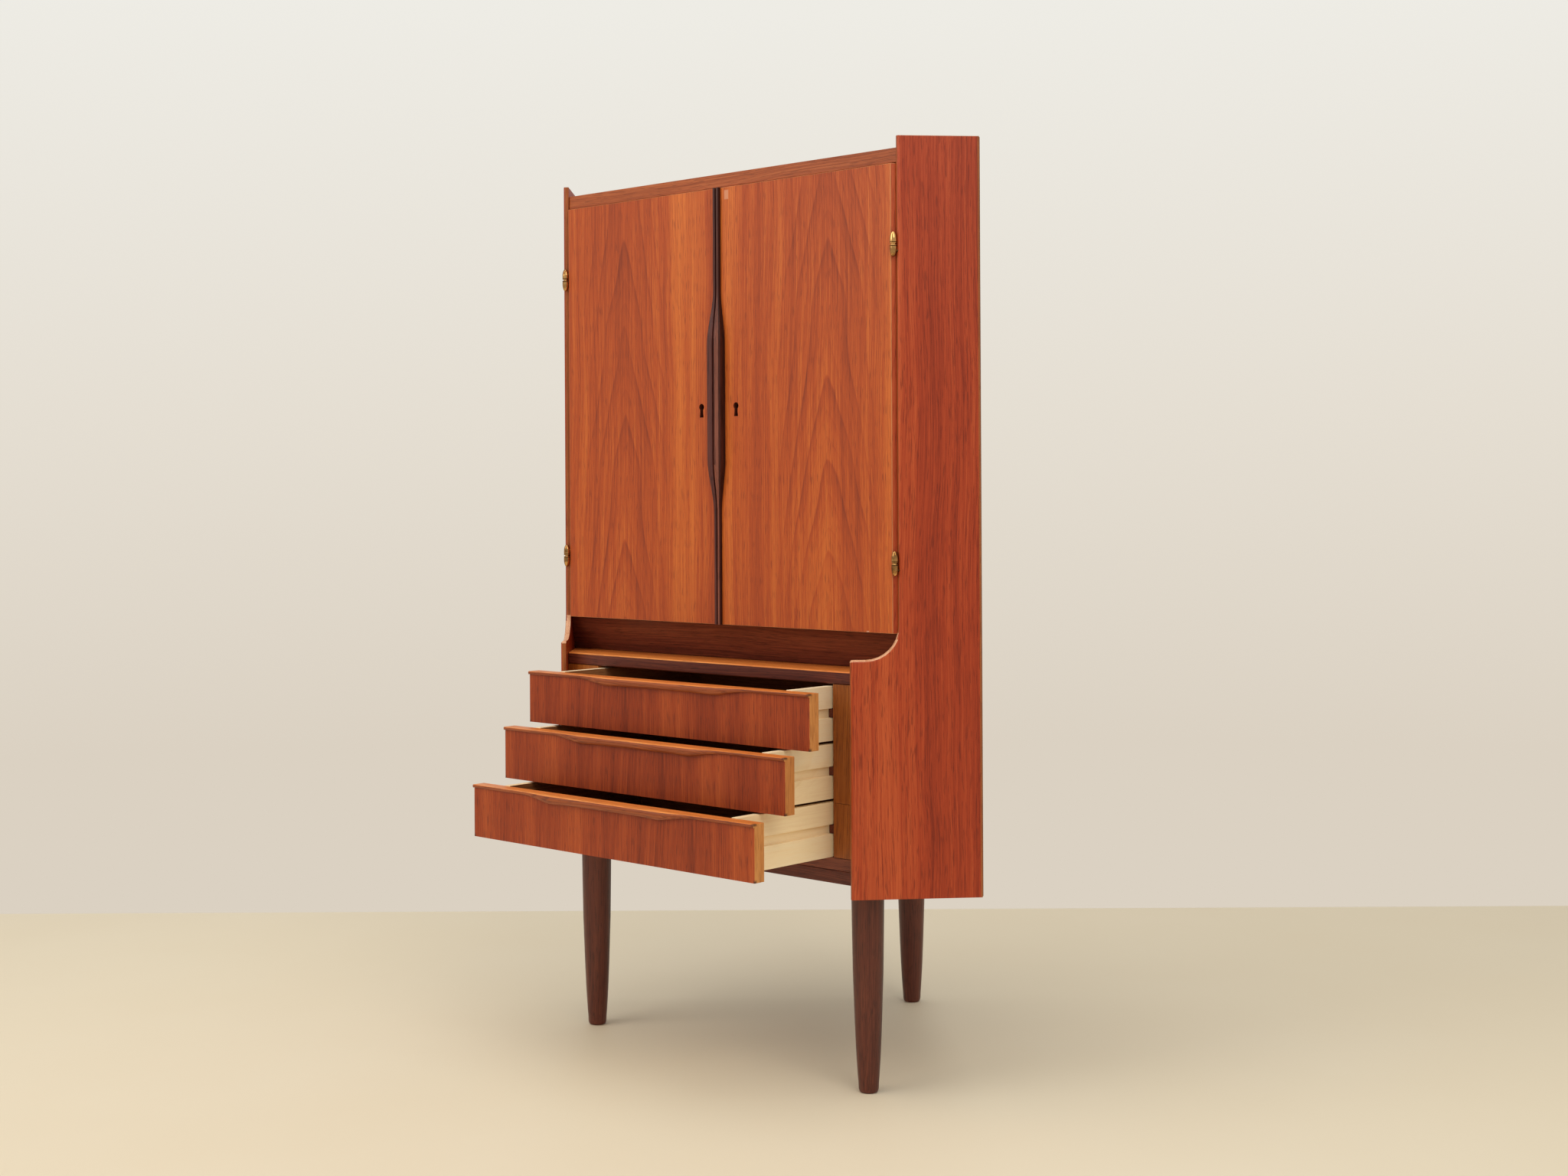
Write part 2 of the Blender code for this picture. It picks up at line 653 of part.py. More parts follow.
def pull_mesh():
    """The right door's sculpted pull: thin at both ends and swelling to a hollowed grip."""
    low_taper, high_taper = PULL_TAPER_SHARES
    low_full, high_full = PULL_FULL_SHARES
    shares = [0.0, low_taper]
    shares += [low_taper + (low_full - low_taper) * step / 5 for step in range(1, 6)]
    shares += [high_full + (high_taper - high_full) * step / 5 for step in range(6)]
    shares.append(1.0)
    sections = []
    for share in shares:
        rising = smooth_step((share - low_taper) / (low_full - low_taper))
        falling = smooth_step((high_taper - share) / (high_taper - high_full))
        swell = min(rising, falling)
        width = PULL_END_WIDTH + (PULL_MIDDLE_WIDTH - PULL_END_WIDTH) * swell
        rise = PULL_END_RISE + (PULL_MIDDLE_RISE - PULL_END_RISE) * swell
        inner = DOOR_SEAM + GAP + PULL_EDGE_EASE * swell
        outer = inner + width
        back = DOOR_Y - GAP
        hollow = rise * PULL_HOLLOW * swell
        outline = [
            (inner, back),
            (outer, back),
            (outer, back - 0.7 * rise),
            (outer - 0.12 * width, back - rise),
            (outer - 0.45 * width, back - rise + 0.35 * hollow),
            (inner + 0.1 * width, back - rise + hollow),
            (inner, back - rise + hollow + 0.08 * rise),
        ]
        height = DOOR_Z + share * DOOR_HEIGHT
        sections.append([(x, y, height) for x, y in outline])
    return loft_mesh(sections)


def barrel_profile(direction):
    """Half of an olive barrel, from the split to its domed tip, going up or down."""
    profile = [(HINGE_RADIUS, HINGE_SPLIT / 2)]
    straight = HINGE_HEIGHT / 2 - HINGE_DOME
    for step in range(5):
        share = step / 4
        radius = HINGE_TIP_RADIUS + (HINGE_RADIUS - HINGE_TIP_RADIUS) * math.cos(share * math.pi / 2)
        profile.append((radius, straight + HINGE_DOME * math.sin(share * math.pi / 2)))
    profile.append((0.0, HINGE_HEIGHT / 2))
    if direction < 0:
        return [(radius, -height) for radius, height in profile]
    return profile[::-1]


def add_hinge(name, side, height, looks):
    """The two halves of a bullet hinge, each with the pin that holds it in the panel or the door."""
    axis = flipped(HINGE_AXIS, side) + Vector((0.0, 0.0, height))
    lower = [(0.0, HINGE_PIVOT_LENGTH), (HINGE_PIVOT_RADIUS, HINGE_PIVOT_LENGTH)]
    lower += [(HINGE_PIVOT_RADIUS, -HINGE_SPLIT / 2)] + barrel_profile(-1)
    bore = HINGE_PIVOT_RADIUS + PIVOT_CLEARANCE
    bore_end = HINGE_PIVOT_LENGTH + PIVOT_CLEARANCE
    upper = barrel_profile(1)
    upper += [(bore, HINGE_SPLIT / 2), (bore, bore_end), (0.0, bore_end)]
    halves = (
        ("panel", lower, flipped(ALONG, side), -HINGE_ARM_OFFSET),
        ("door", upper, flipped(DOOR_ARM_DIRECTION, side), HINGE_ARM_OFFSET),
    )
    for half, profile, direction, offset in halves:
        barrel = turned_mesh(profile, 16)
        barrel.transform(Matrix.Translation(axis))
        made = add_part(f"hinge_{name}_{half}", barrel, looks["brass"], axis)
        clear = HINGE_RADIUS * PIN_START_SHARE if half == "door" else 0.0
        start = axis + direction * clear + Vector((0.0, 0.0, offset))
        arm = rod_mesh(start, direction, HINGE_ARM_LENGTH - clear, HINGE_ARM_RADIUS)
        combine(made, add_cutter(f"arm_{name}_{half}", arm), "UNION")


def cut_arm_holes(target, name, side, direction, offset):
    """Drills a door or a panel for the hinge pins."""
    for level, share in (("low", HINGE_LOW_SHARE), ("high", HINGE_TOP_SHARE)):
        height = DOOR_Z + share * DOOR_HEIGHT + offset
        start = flipped(HINGE_AXIS, side) + Vector((0.0, 0.0, height))
        hole = rod_mesh(
            start,
            flipped(direction, side),
            HINGE_ARM_LENGTH + DOWEL_CLEARANCE,
            HINGE_ARM_RADIUS + DOWEL_CLEARANCE,
        )
        combine(target, add_cutter(f"hole_{name}_{level}", hole))


def add_door(name, side, looks):
    """A door with its pull and lock, turning on its hinges."""
    make = (lambda mesh: mesh) if side > 0 else mirrored
    pivot = flipped(HINGE_AXIS, side)
    door = add_part(f"door_{name}", make(door_mesh()), looks["teak"], pivot)
    combine(door, add_cutter(f"keyhole_{name}", make(keyhole_mesh())))
    cut_arm_holes(door, f"door_{name}", side, DOOR_ARM_DIRECTION, HINGE_ARM_OFFSET)
    add_part(f"door_pull_{name}", make(pull_mesh()), looks["rosewood"], pivot)
    height = DOOR_Z + KEYHOLE_SHARE * DOOR_HEIGHT
    face = DOOR_Y + DOOR_THICK + GAP
    low = (KEYHOLE_X - LOCK_WIDTH / 2, face, height - LOCK_HEIGHT / 2)
    high = (KEYHOLE_X + LOCK_WIDTH / 2, face + LOCK_DEPTH, height + LOCK_HEIGHT / 2)
    add_part(f"lock_{name}", make(box_mesh(low, high)), looks["brass"], pivot)
    for level, share in (("low", HINGE_LOW_SHARE), ("high", HINGE_TOP_SHARE)):
        add_hinge(f"{name}_{level}", side, DOOR_Z + share * DOOR_HEIGHT, looks)


def add_door_stop(looks):
    """The block under the top board that both doors close against."""
    face = DOOR_Y + DOOR_THICK + GAP
    low = (-STOP_WIDTH / 2, face, TOP_Z - GAP - STOP_HEIGHT)
    high = (STOP_WIDTH / 2, face + STOP_DEPTH, TOP_Z - GAP)
    add_part("door_stop", box_mesh(low, high), looks["plain"])


def make_looks():
    """One material for each kind of wood, and brass."""
    return {
        "teak": make_material("teak", (0.40, 0.12, 0.035), 0.42),
        "dark": make_material("dark teak", (0.11, 0.035, 0.02), 0.45),
        "stile": make_material("stile teak", (0.19, 0.06, 0.018), 0.45),
        "leg": make_material("leg wood", (0.08, 0.03, 0.022), 0.4),
        "rosewood": make_material("rosewood", (0.12, 0.04, 0.035), 0.38),
        "pine": make_material("pine", (0.76, 0.58, 0.33), 0.55),
        "plain": make_material("plain wood", (0.33, 0.14, 0.06), 0.55),
        "ply": make_material("back ply", (0.20, 0.09, 0.045), 0.6),
        "brass": make_material("aged brass", (0.55, 0.37, 0.16), 0.35, 1.0),
    }


for leftover in list(bpy.data.objects):
    bpy.data.objects.remove(leftover)

cabinet = bpy.data.collections.new("corner_cabinet")
cutters = bpy.data.collections.new("cutters")
bpy.context.scene.collection.children.link(cabinet)
bpy.context.scene.collection.children.link(cutters)

wood = make_looks()
side_panels, bottom_board = add_case(wood)
add_face_frame(wood)
for side_name, sign in (("right", 1), ("left", -1)):
    cut_arm_holes(side_panels[sign], f"panel_{side_name}", sign, ALONG, -HINGE_ARM_OFFSET)
    add_door(side_name, sign, wood)
    leg_x = sign * (FRONT_HALF - FRONT_LEG_INSET)
    add_leg(f"leg_{side_name}", leg_x, FRONT_LEG_BACK, wood, bottom_board)
add_leg("leg_rear", 0.0, REAR_FLAT - REAR_LEG_BEFORE_CUT, wood, bottom_board)
add_door_stop(wood)
for drawer_index, drawer_name in enumerate(DRAWER_NAMES):
    add_drawer(drawer_index, drawer_name, wood)
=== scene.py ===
"""The looks of a teak corner cabinet: oiled veneer, carved grips, bullet hinges and turned legs."""

import json
import logging
import math
from collections.abc import Callable, Iterable, Sequence
from dataclasses import dataclass, field
from enum import Enum

import bmesh
import bpy
from mathutils import Euler, Matrix, Vector


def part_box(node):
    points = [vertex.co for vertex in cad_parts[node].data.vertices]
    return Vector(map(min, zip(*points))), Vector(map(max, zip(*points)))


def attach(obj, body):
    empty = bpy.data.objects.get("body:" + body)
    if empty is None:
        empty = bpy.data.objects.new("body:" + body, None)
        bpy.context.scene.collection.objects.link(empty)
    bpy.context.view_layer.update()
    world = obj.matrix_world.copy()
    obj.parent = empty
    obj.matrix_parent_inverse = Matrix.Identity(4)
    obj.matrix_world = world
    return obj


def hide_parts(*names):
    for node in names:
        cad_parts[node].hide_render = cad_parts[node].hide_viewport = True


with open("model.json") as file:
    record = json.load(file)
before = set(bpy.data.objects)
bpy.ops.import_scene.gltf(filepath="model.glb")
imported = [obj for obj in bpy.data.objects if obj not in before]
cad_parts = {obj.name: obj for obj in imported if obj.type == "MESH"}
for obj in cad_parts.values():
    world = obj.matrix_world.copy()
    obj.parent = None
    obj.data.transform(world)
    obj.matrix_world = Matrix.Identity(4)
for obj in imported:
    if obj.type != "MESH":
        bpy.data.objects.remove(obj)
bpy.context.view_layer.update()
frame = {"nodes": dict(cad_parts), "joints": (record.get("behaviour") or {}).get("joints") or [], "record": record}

log = logging.getLogger("corner_cabinet")

Colour = tuple[float, float, float]

FLARE_DEGREES = 48.0
FLARE = math.radians(FLARE_DEGREES)
MERGE_WITHIN = 1e-5
FLAT_WITHIN = math.radians(0.4)
SHARP_ABOVE = math.radians(40)
FIGURE_SHIFT = Vector((0.031, 0.017, 0.023))


class Side(Enum):
    """The two sides of the cabinet, with the sign of X on each."""

    RIGHT = 1
    LEFT = -1

    @property
    def word(self) -> str:
        """The side's name in the names of pieces."""
        return self.name.lower()


class Grain(Enum):
    """The way a board's grain runs, as the turn that brings it upright."""

    UPRIGHT = (0.0, 0.0, 0.0)
    ACROSS = (0.0, -90.0, 0.0)
    INWARD = (90.0, 0.0, 0.0)
    FLARED_RIGHT = (0.0, 0.0, -FLARE_DEGREES)
    FLARED_LEFT = (0.0, 0.0, FLARE_DEGREES)
    BACK_RIGHT = (0.0, 0.0, 45.0)
    BACK_LEFT = (0.0, 0.0, -45.0)


def linear(colour: Colour) -> tuple[float, float, float, float]:
    """Turns a colour given from 0 to 255 into linear light.

    Args:
        colour: Red, green and blue as a paint chart gives them.

    Returns:
        The same colour as a shader takes it, with full alpha.
    """
    shares = [value / 255 for value in colour]
    light = [s / 12.92 if s <= 0.04045 else ((s + 0.055) / 1.055) ** 2.4 for s in shares]
    return (light[0], light[1], light[2], 1.0)


def smooth_step(value: float) -> float:
    """Eases a value from 0 to 1.

    Args:
        value: Any number, held between 0 and 1 first.

    Returns:
        The eased value, level at both ends.
    """
    value = min(1.0, max(0.0, value))
    return value * value * (3.0 - 2.0 * value)


# Shader groups


class Wiring:
    """A node tree with short ways to add and join nodes."""

    def __init__(self, tree: bpy.types.NodeTree) -> None:
        """Keeps the tree that the nodes go into."""
        self.tree = tree

    def node(self, kind: str, **settings: object) -> bpy.types.Node:
        """Adds a node.

        Args:
            kind: The node's type, without the leading ShaderNode.
            **settings: Properties to set on it.

        Returns:
            The new node.
        """
        made = self.tree.nodes.new("ShaderNode" + kind)
        for name, value in settings.items():
            setattr(made, name, value)
        return made

    def join(self, source: bpy.types.NodeSocket, target: bpy.types.NodeSocket) -> None:
        """Links two sockets."""
        self.tree.links.new(source, target)

    def feed(self, target: bpy.types.NodeSocket, value: object) -> None:
        """Gives a socket a link or a plain value.

        Args:
            target: The socket to fill.
            value: Another socket to link, or a value to set.
        """
        if isinstance(value, bpy.types.NodeSocket):
            self.join(value, target)
        else:
            target.default_value = value

    def maths(self, operation: str, *values: object, clamp: bool = False) -> bpy.types.NodeSocket:
        """One step of arithmetic.

        Args:
            operation: The Math node's operation.
            *values: Sockets or numbers for its inputs.
            clamp: Whether the result is held between 0 and 1.

        Returns:
            The socket with the result.
        """
        made = self.node("Math", operation=operation, use_clamp=clamp)
        for index, value in enumerate(values):
            self.feed(made.inputs[index], value)
        return made.outputs[0]

    def stretch(self, place: bpy.types.NodeSocket, scale: Sequence[float]) -> bpy.types.NodeSocket:
        """Scales a place along each axis.

        Args:
            place: The place's socket.
            scale: The factor along X, Y and Z.

        Returns:
            The socket with the scaled place.
        """
        made = self.node("VectorMath", operation="MULTIPLY")
        self.join(place, made.inputs[0])
        made.inputs[1].default_value = scale
        return made.outputs[0]

    def noise(
        self, place: bpy.types.NodeSocket, scale: Sequence[float], detail: float, rough: float
    ) -> bpy.types.NodeSocket:
        """Noise over a stretched place.

        Args:
            place: Where the noise is read, in metres.
            scale: How many features a metre holds along each axis.
            detail: Octaves of finer noise.
            rough: How strong the finer octaves are.

        Returns:
            The socket with the noise, from 0 to 1.
        """
        made = self.node("TexNoise", noise_dimensions="3D")
        self.join(self.stretch(place, scale), made.inputs["Vector"])
        made.inputs["Scale"].default_value = 1.0
        made.inputs["Detail"].default_value = detail
        made.inputs["Roughness"].default_value = rough
        return made.outputs["Fac"]

    def between(
        self, value: bpy.types.NodeSocket, low: float, high: float, to_low: float = 0.0, to_high: float = 1.0
    ) -> bpy.types.NodeSocket:
        """Maps a range smoothly to another.

        Args:
            value: The socket to map.
            low: Where the range starts.
            high: Where the range ends.
            to_low: What its start becomes.
            to_high: What its end becomes.

        Returns:
            The socket with the result.
        """
        made = self.node("MapRange", interpolation_type="SMOOTHSTEP")
        self.join(value, made.inputs["Value"])
        for name, number in (("From Min", low), ("From Max", high), ("To Min", to_low), ("To Max", to_high)):
            made.inputs[name].default_value = number
        return made.outputs["Result"]

    def mix(self, share: object, first: object, second: object, blend: str = "MIX") -> bpy.types.NodeSocket:
        """Mixes two colours.

        Args:
            share: How much of the second colour.
            first: A colour or its socket.
            second: A colour or its socket.
            blend: The Mix node's blend type.

        Returns:
            The socket with the mixed colour.
        """
        made = self.node("Mix", data_type="RGBA", blend_type=blend)
        self.feed(made.inputs["Factor"], share)
        self.feed(made.inputs[6], first)
        self.feed(made.inputs[7], second)
        return made.outputs[2]

    def ramp(
        self, value: bpy.types.NodeSocket, stops: Sequence[tuple[float, Colour]]
    ) -> bpy.types.NodeSocket:
        """A colour ramp through the stops given.

        Args:
            value: The socket that is looked up.
            stops: Positions from 0 to 1, each with its colour.

        Returns:
            The socket with the colour.
        """
        made = self.node("ValToRGB")
        ramp = made.color_ramp
        while len(ramp.elements) < len(stops):
            ramp.elements.new(0.5)
        for element, (position, colour) in zip(ramp.elements, stops):
            element.position = position
            element.color = linear(colour)
        self.join(value, made.inputs["Fac"])
        return made.outputs["Color"]


def new_group(
    name: str, inputs: dict[str, float | None], outputs: Iterable[str]
) -> tuple[Wiring, bpy.types.Node]:
    """Starts a shader node group.

    Args:
        name: The group's name.
        inputs: Names of its inputs with their defaults, None for a vector.
        outputs: Names of its value outputs.

    Returns:
        The group's wiring and its input node.
    """
    tree = bpy.data.node_groups.new(name, "ShaderNodeTree")
    for label, default in inputs.items():
        kind = "NodeSocketVector" if default is None else "NodeSocketFloat"
        socket = tree.interface.new_socket(label, in_out="INPUT", socket_type=kind)
        if default is not None:
            socket.default_value = default
    for label in outputs:
        tree.interface.new_socket(label, in_out="OUTPUT", socket_type="NodeSocketFloat")
    wiring = Wiring(tree)
    return wiring, tree.nodes.new("NodeGroupInput")


def build_grain_group() -> bpy.types.NodeTree:
    """The figure of sawn wood: nested arches, streaks, fibres and pores, with the grain along Z.

    Returns:
        A group from a place and a few amounts to Tone, Pores and Height.
    """
    inputs = {"Place": None, "Arch Width": 0.05, "Arches": 0.3, "Streaks": 1.0, "Fibres": 0.5, "Pores": 0.5}
    wiring, given = new_group("wood_grain", inputs, ("Tone", "Pores", "Height"))
    place = given.outputs["Place"]
    wobble = wiring.noise(place, (5.0, 5.0, 2.1), 2.0, 0.5)
    split = wiring.node("SeparateXYZ")
    wiring.join(place, split.inputs[0])
    sway = wiring.maths("MULTIPLY", wiring.maths("SUBTRACT", wobble, 0.5), 0.035)
    across = wiring.maths("ADD", split.outputs["X"], sway)
    bent = wiring.node("CombineXYZ")
    wiring.join(across, bent.inputs["X"])
    wiring.join(split.outputs["Y"], bent.inputs["Y"])
    wiring.join(split.outputs["Z"], bent.inputs["Z"])
    straight = bent.outputs[0]
    # Growth rings cut at a slant: nested arches that point up the board and run out as straight lines.
    width = wiring.maths("DIVIDE", wiring.maths("ABSOLUTE", across), given.outputs["Arch Width"])
    bowl = wiring.maths("POWER", width, 1.35)
    slow = wiring.noise(place, (3.0, 3.0, 2.6), 2.0, 0.5)
    climb = wiring.maths("MULTIPLY", split.outputs["Z"], 6.5)
    rings = wiring.maths("ADD", bowl, wiring.maths("MULTIPLY_ADD", slow, 2.6, climb))
    near = wiring.between(width, 2.9, 0.9)
    strength = wiring.between(wiring.noise(place, (5.0, 5.0, 6.0), 1.0, 0.5), 0.3, 0.7, 0.4, 1.0)
    crest = 0.0
    for pitch, share in ((1.0, 1.0), (3.0, 0.4)):
        saw = wiring.maths("FRACT", wiring.maths("MULTIPLY", rings, pitch))
        falling = wiring.between(saw, 1.0, 0.94)
        line = wiring.maths("MULTIPLY", wiring.maths("POWER", saw, 3.5), falling)
        crest = wiring.maths("MULTIPLY_ADD", line, share, crest)
    lines = wiring.maths("MULTIPLY", wiring.maths("MULTIPLY", crest, near), strength)
    arches = wiring.maths("MULTIPLY", lines, given.outputs["Arches"])
    bands = wiring.noise(straight, (11.0, 11.0, 0.35), 2.0, 0.5)
    streaks = wiring.noise(straight, (70.0, 70.0, 0.9), 4.0, 0.7)
    veins = wiring.noise(straight, (190.0, 190.0, 1.9), 2.0, 0.6)
    fibres = wiring.noise(straight, (560.0, 560.0, 5.0), 4.0, 0.75)
    tone = wiring.maths("MULTIPLY", wiring.maths("SUBTRACT", bands, 0.5), 0.95)
    tone = wiring.maths("ADD", tone, wiring.maths("MULTIPLY", wiring.maths("SUBTRACT", streaks, 0.5), 0.6))
    sharp = wiring.between(veins, 0.56, 0.74)
    tone = wiring.maths("SUBTRACT", tone, wiring.maths("MULTIPLY", sharp, 0.11))
    tone = wiring.maths("MULTIPLY", tone, given.outputs["Streaks"])
    fine = wiring.maths("MULTIPLY", wiring.maths("SUBTRACT", fibres, 0.5), given.outputs["Fibres"])
    tone = wiring.maths("ADD", tone, fine)
    tone = wiring.maths("SUBTRACT", tone, arches)
    tone = wiring.maths("ADD", tone, 0.56, clamp=True)
    dashes = wiring.between(wiring.noise(straight, (780.0, 780.0, 38.0), 1.0, 0.5), 0.57, 0.68)
    pores = wiring.maths("MULTIPLY", dashes, given.outputs["Pores"])
    relief = wiring.maths("SUBTRACT", wiring.maths("MULTIPLY", fibres, 0.5), dashes)
    leaving = wiring.tree.nodes.new("NodeGroupOutput")
    wiring.join(tone, leaving.inputs["Tone"])
    wiring.join(pores, leaving.inputs["Pores"])
    wiring.join(relief, leaving.inputs["Height"])
    return wiring.tree


def build_mark_group() -> bpy.types.NodeTree:
    """A soft-edged block-shaped mark, for a patch, a chip or a nick.

    Returns:
        A group from a place, a centre and half sizes to a mask.
    """
    inputs = {"Place": None, "Centre": None, "Half": None, "Edge": 0.35}
    wiring, given = new_group("mark", inputs, ("Mask",))
    away = wiring.node("VectorMath", operation="SUBTRACT")
    wiring.join(given.outputs["Place"], away.inputs[0])
    wiring.join(given.outputs["Centre"], away.inputs[1])
    size = wiring.node("VectorMath", operation="ABSOLUTE")
    wiring.join(away.outputs[0], size.inputs[0])
    share = wiring.node("VectorMath", operation="DIVIDE")
    wiring.join(size.outputs[0], share.inputs[0])
    wiring.join(given.outputs["Half"], share.inputs[1])
    split = wiring.node("SeparateXYZ")
    wiring.join(share.outputs[0], split.inputs[0])
    level = wiring.maths("MAXIMUM", split.outputs[0], split.outputs[1])
    most = wiring.maths("MAXIMUM", level, split.outputs[2])
    inside = wiring.maths("SUBTRACT", 1.0, most)
    mask = wiring.maths("DIVIDE", inside, given.outputs["Edge"], clamp=True)
    leaving = wiring.tree.nodes.new("NodeGroupOutput")
    wiring.join(mask, leaving.inputs["Mask"])
    return wiring.tree


GRAIN = build_grain_group()
MARK = build_mark_group()


@dataclass(frozen=True)
class Mark:
    """A small local change of colour on a piece."""

    centre: tuple[float, float, float]
    half: tuple[float, float, float]
    colour: Colour
    strength: float = 0.8
    edge: float = 0.35


@dataclass(frozen=True)
class WoodFinish:
    """One kind of wood and how it is finished."""

    name: str
    dark: Colour
    middle: Colour
    light: Colour
    pore: Colour
    arches: float = 0.3
    arch_width: float = 0.05
    streaks: float = 1.0
    fibres: float = 1.0
    pores: float = 0.5
    rough: tuple[float, float] = (0.36, 0.5)
    relief: float = 0.00012
    coat: float = 0.05
    shine: float = 0.3

    def dress(
        self,
        label: str,
        grain: Grain,
        centre: Sequence[float],
        marks: Sequence[Mark] = (),
    ) -> bpy.types.Material:
        """Makes this wood for one piece.

        Args:
            label: The piece's name.
            grain: The way its grain runs.
            centre: Where the middle of its figure lies, in metres.
            marks: Patches and nicks on it.

        Returns:
            The material.
        """
        made = bpy.data.materials.new(f"{self.name}_{label}")
        made.use_nodes = True
        wiring = Wiring(made.node_tree)
        shader = made.node_tree.nodes["Principled BSDF"]
        turn = Euler([math.radians(angle) for angle in grain.value])
        spot = wiring.node("TexCoord").outputs["Object"]
        mapping = wiring.node("Mapping", vector_type="POINT")
        wiring.join(spot, mapping.inputs["Vector"])
        mapping.inputs["Rotation"].default_value = turn
        mapping.inputs["Location"].default_value = -(turn.to_matrix() @ Vector(centre))
        figure = made.node_tree.nodes.new("ShaderNodeGroup")
        figure.node_tree = GRAIN
        wiring.join(mapping.outputs[0], figure.inputs["Place"])
        amounts = {
            "Arch Width": self.arch_width,
            "Arches": self.arches,
            "Streaks": self.streaks,
            "Fibres": self.fibres,
            "Pores": self.pores,
        }
        for socket, amount in amounts.items():
            figure.inputs[socket].default_value = amount
        stops = ((0.18, self.dark), (0.52, self.middle), (0.86, self.light))
        colour = wiring.ramp(figure.outputs["Tone"], stops)
        colour = wiring.mix(figure.outputs["Pores"], colour, linear(self.pore))
        for mark in marks:
            mask = self.add_mark(wiring, spot, mark)
            colour = wiring.mix(mask, colour, linear(mark.colour))
        wiring.join(colour, shader.inputs["Base Color"])
        rough = wiring.between(figure.outputs["Tone"], 0.2, 0.9, self.rough[1], self.rough[0])
        wiring.join(rough, shader.inputs["Roughness"])
        shader.inputs["Specular IOR Level"].default_value = self.shine
        shader.inputs["Coat Weight"].default_value = self.coat
        shader.inputs["Coat Roughness"].default_value = 0.3
        bump = wiring.node("Bump")
        bump.inputs["Strength"].default_value = 0.5
        bump.inputs["Distance"].default_value = self.relief
        wiring.join(figure.outputs["Height"], bump.inputs["Height"])
        wiring.join(bump.outputs[0], shader.inputs["Normal"])
        return made

    def add_mark(self, wiring: Wiring, spot: bpy.types.NodeSocket, mark: Mark) -> bpy.types.NodeSocket:
        """Adds a mark's mask to a material.

        Args:
            wiring: The material's nodes.
            spot: The place on the object.
            mark: What to add.

        Returns:
            The socket with the mask.
        """
        made = wiring.tree.nodes.new("ShaderNodeGroup")
        made.node_tree = MARK
        wiring.join(spot, made.inputs["Place"])
        made.inputs["Centre"].default_value = mark.centre
        made.inputs["Half"].default_value = mark.half
        made.inputs["Edge"].default_value = mark.edge
        return wiring.maths("MULTIPLY", made.outputs["Mask"], mark.strength)


@dataclass(frozen=True)
class MetalFinish:
    """A metal with a worn, handled surface."""

    name: str
    bright: Colour
    dull: Colour
    rough: tuple[float, float] = (0.2, 0.42)
    metallic: float = 1.0
    patch: float = 60.0

    def dress(self, label: str) -> bpy.types.Material:
        """Makes this metal for one piece.

        Args:
            label: The piece's name.

        Returns:
            The material.
        """
        made = bpy.data.materials.new(f"{self.name}_{label}")
        made.use_nodes = True
        wiring = Wiring(made.node_tree)
        shader = made.node_tree.nodes["Principled BSDF"]
        spot = wiring.node("TexCoord").outputs["Object"]
        blotch = wiring.noise(spot, (self.patch,) * 3, 4.0, 0.6)
        fine = wiring.noise(spot, (1500.0, 1500.0, 1500.0), 2.0, 0.5)
        tarnish = wiring.between(blotch, 0.38, 0.66)
        colour = wiring.mix(tarnish, linear(self.bright), linear(self.dull))
        wiring.join(colour, shader.inputs["Base Color"])
        shader.inputs["Metallic"].default_value = self.metallic
        rough = wiring.between(blotch, 0.3, 0.7, self.rough[0], self.rough[1])
        wiring.join(rough, shader.inputs["Roughness"])
        bump = wiring.node("Bump")
        bump.inputs["Strength"].default_value = 0.15
        bump.inputs["Distance"].default_value = 0.00005
        wiring.join(fine, bump.inputs["Height"])
        wiring.join(bump.outputs[0], shader.inputs["Normal"])
        return made


TEAK_DOOR = WoodFinish(
    "teak_door", (128, 50, 24), (178, 76, 28), (214, 116, 48), (112, 42, 20), arches=0.26, arch_width=0.047
)
TEAK_SIDE = WoodFinish(
    "teak_side", (116, 30, 4), (168, 60, 24), (200, 92, 46), (96, 24, 6), arches=0.05, streaks=0.9
)
TEAK_DRAWER = WoodFinish(
    "teak_drawer", (92, 26, 4), (150, 56, 16), (186, 86, 34), (80, 22, 6), arches=0.26, arch_width=0.05
)
TEAK_RAIL = WoodFinish(
    "teak_rail", (112, 46, 16), (166, 84, 42), (200, 118, 66), (92, 38, 16), arches=0.05, streaks=1.0
)
# Painted highlight: a lighter copy of the teak for upward-facing faces, standing in for light from above.
TEAK_LIT_TOP = WoodFinish(
    "teak_grip", (168, 78, 26), (224, 128, 54), (246, 164, 84), (120, 52, 22), arches=0.0, coat=0.12
)
TEAK_LIP = WoodFinish(
    "teak_lip", (78, 28, 8), (134, 60, 24), (176, 92, 42), (64, 22, 8), arches=0.0, coat=0.12
)
TEAK_EDGE = WoodFinish(
    "teak_edge", (110, 50, 18), (156, 82, 38), (186, 112, 60), (100, 44, 16), arches=0.0, streaks=0.7
)
# Painted highlight: a pale copy of the teak for upward-facing edge faces, standing in for light from above.
TEAK_EDGE_HIGHLIGHT = WoodFinish(
    "teak_arris", (186, 120, 78), (222, 164, 122), (240, 196, 156), (176, 104, 64), streaks=0.5, shine=0.6
)
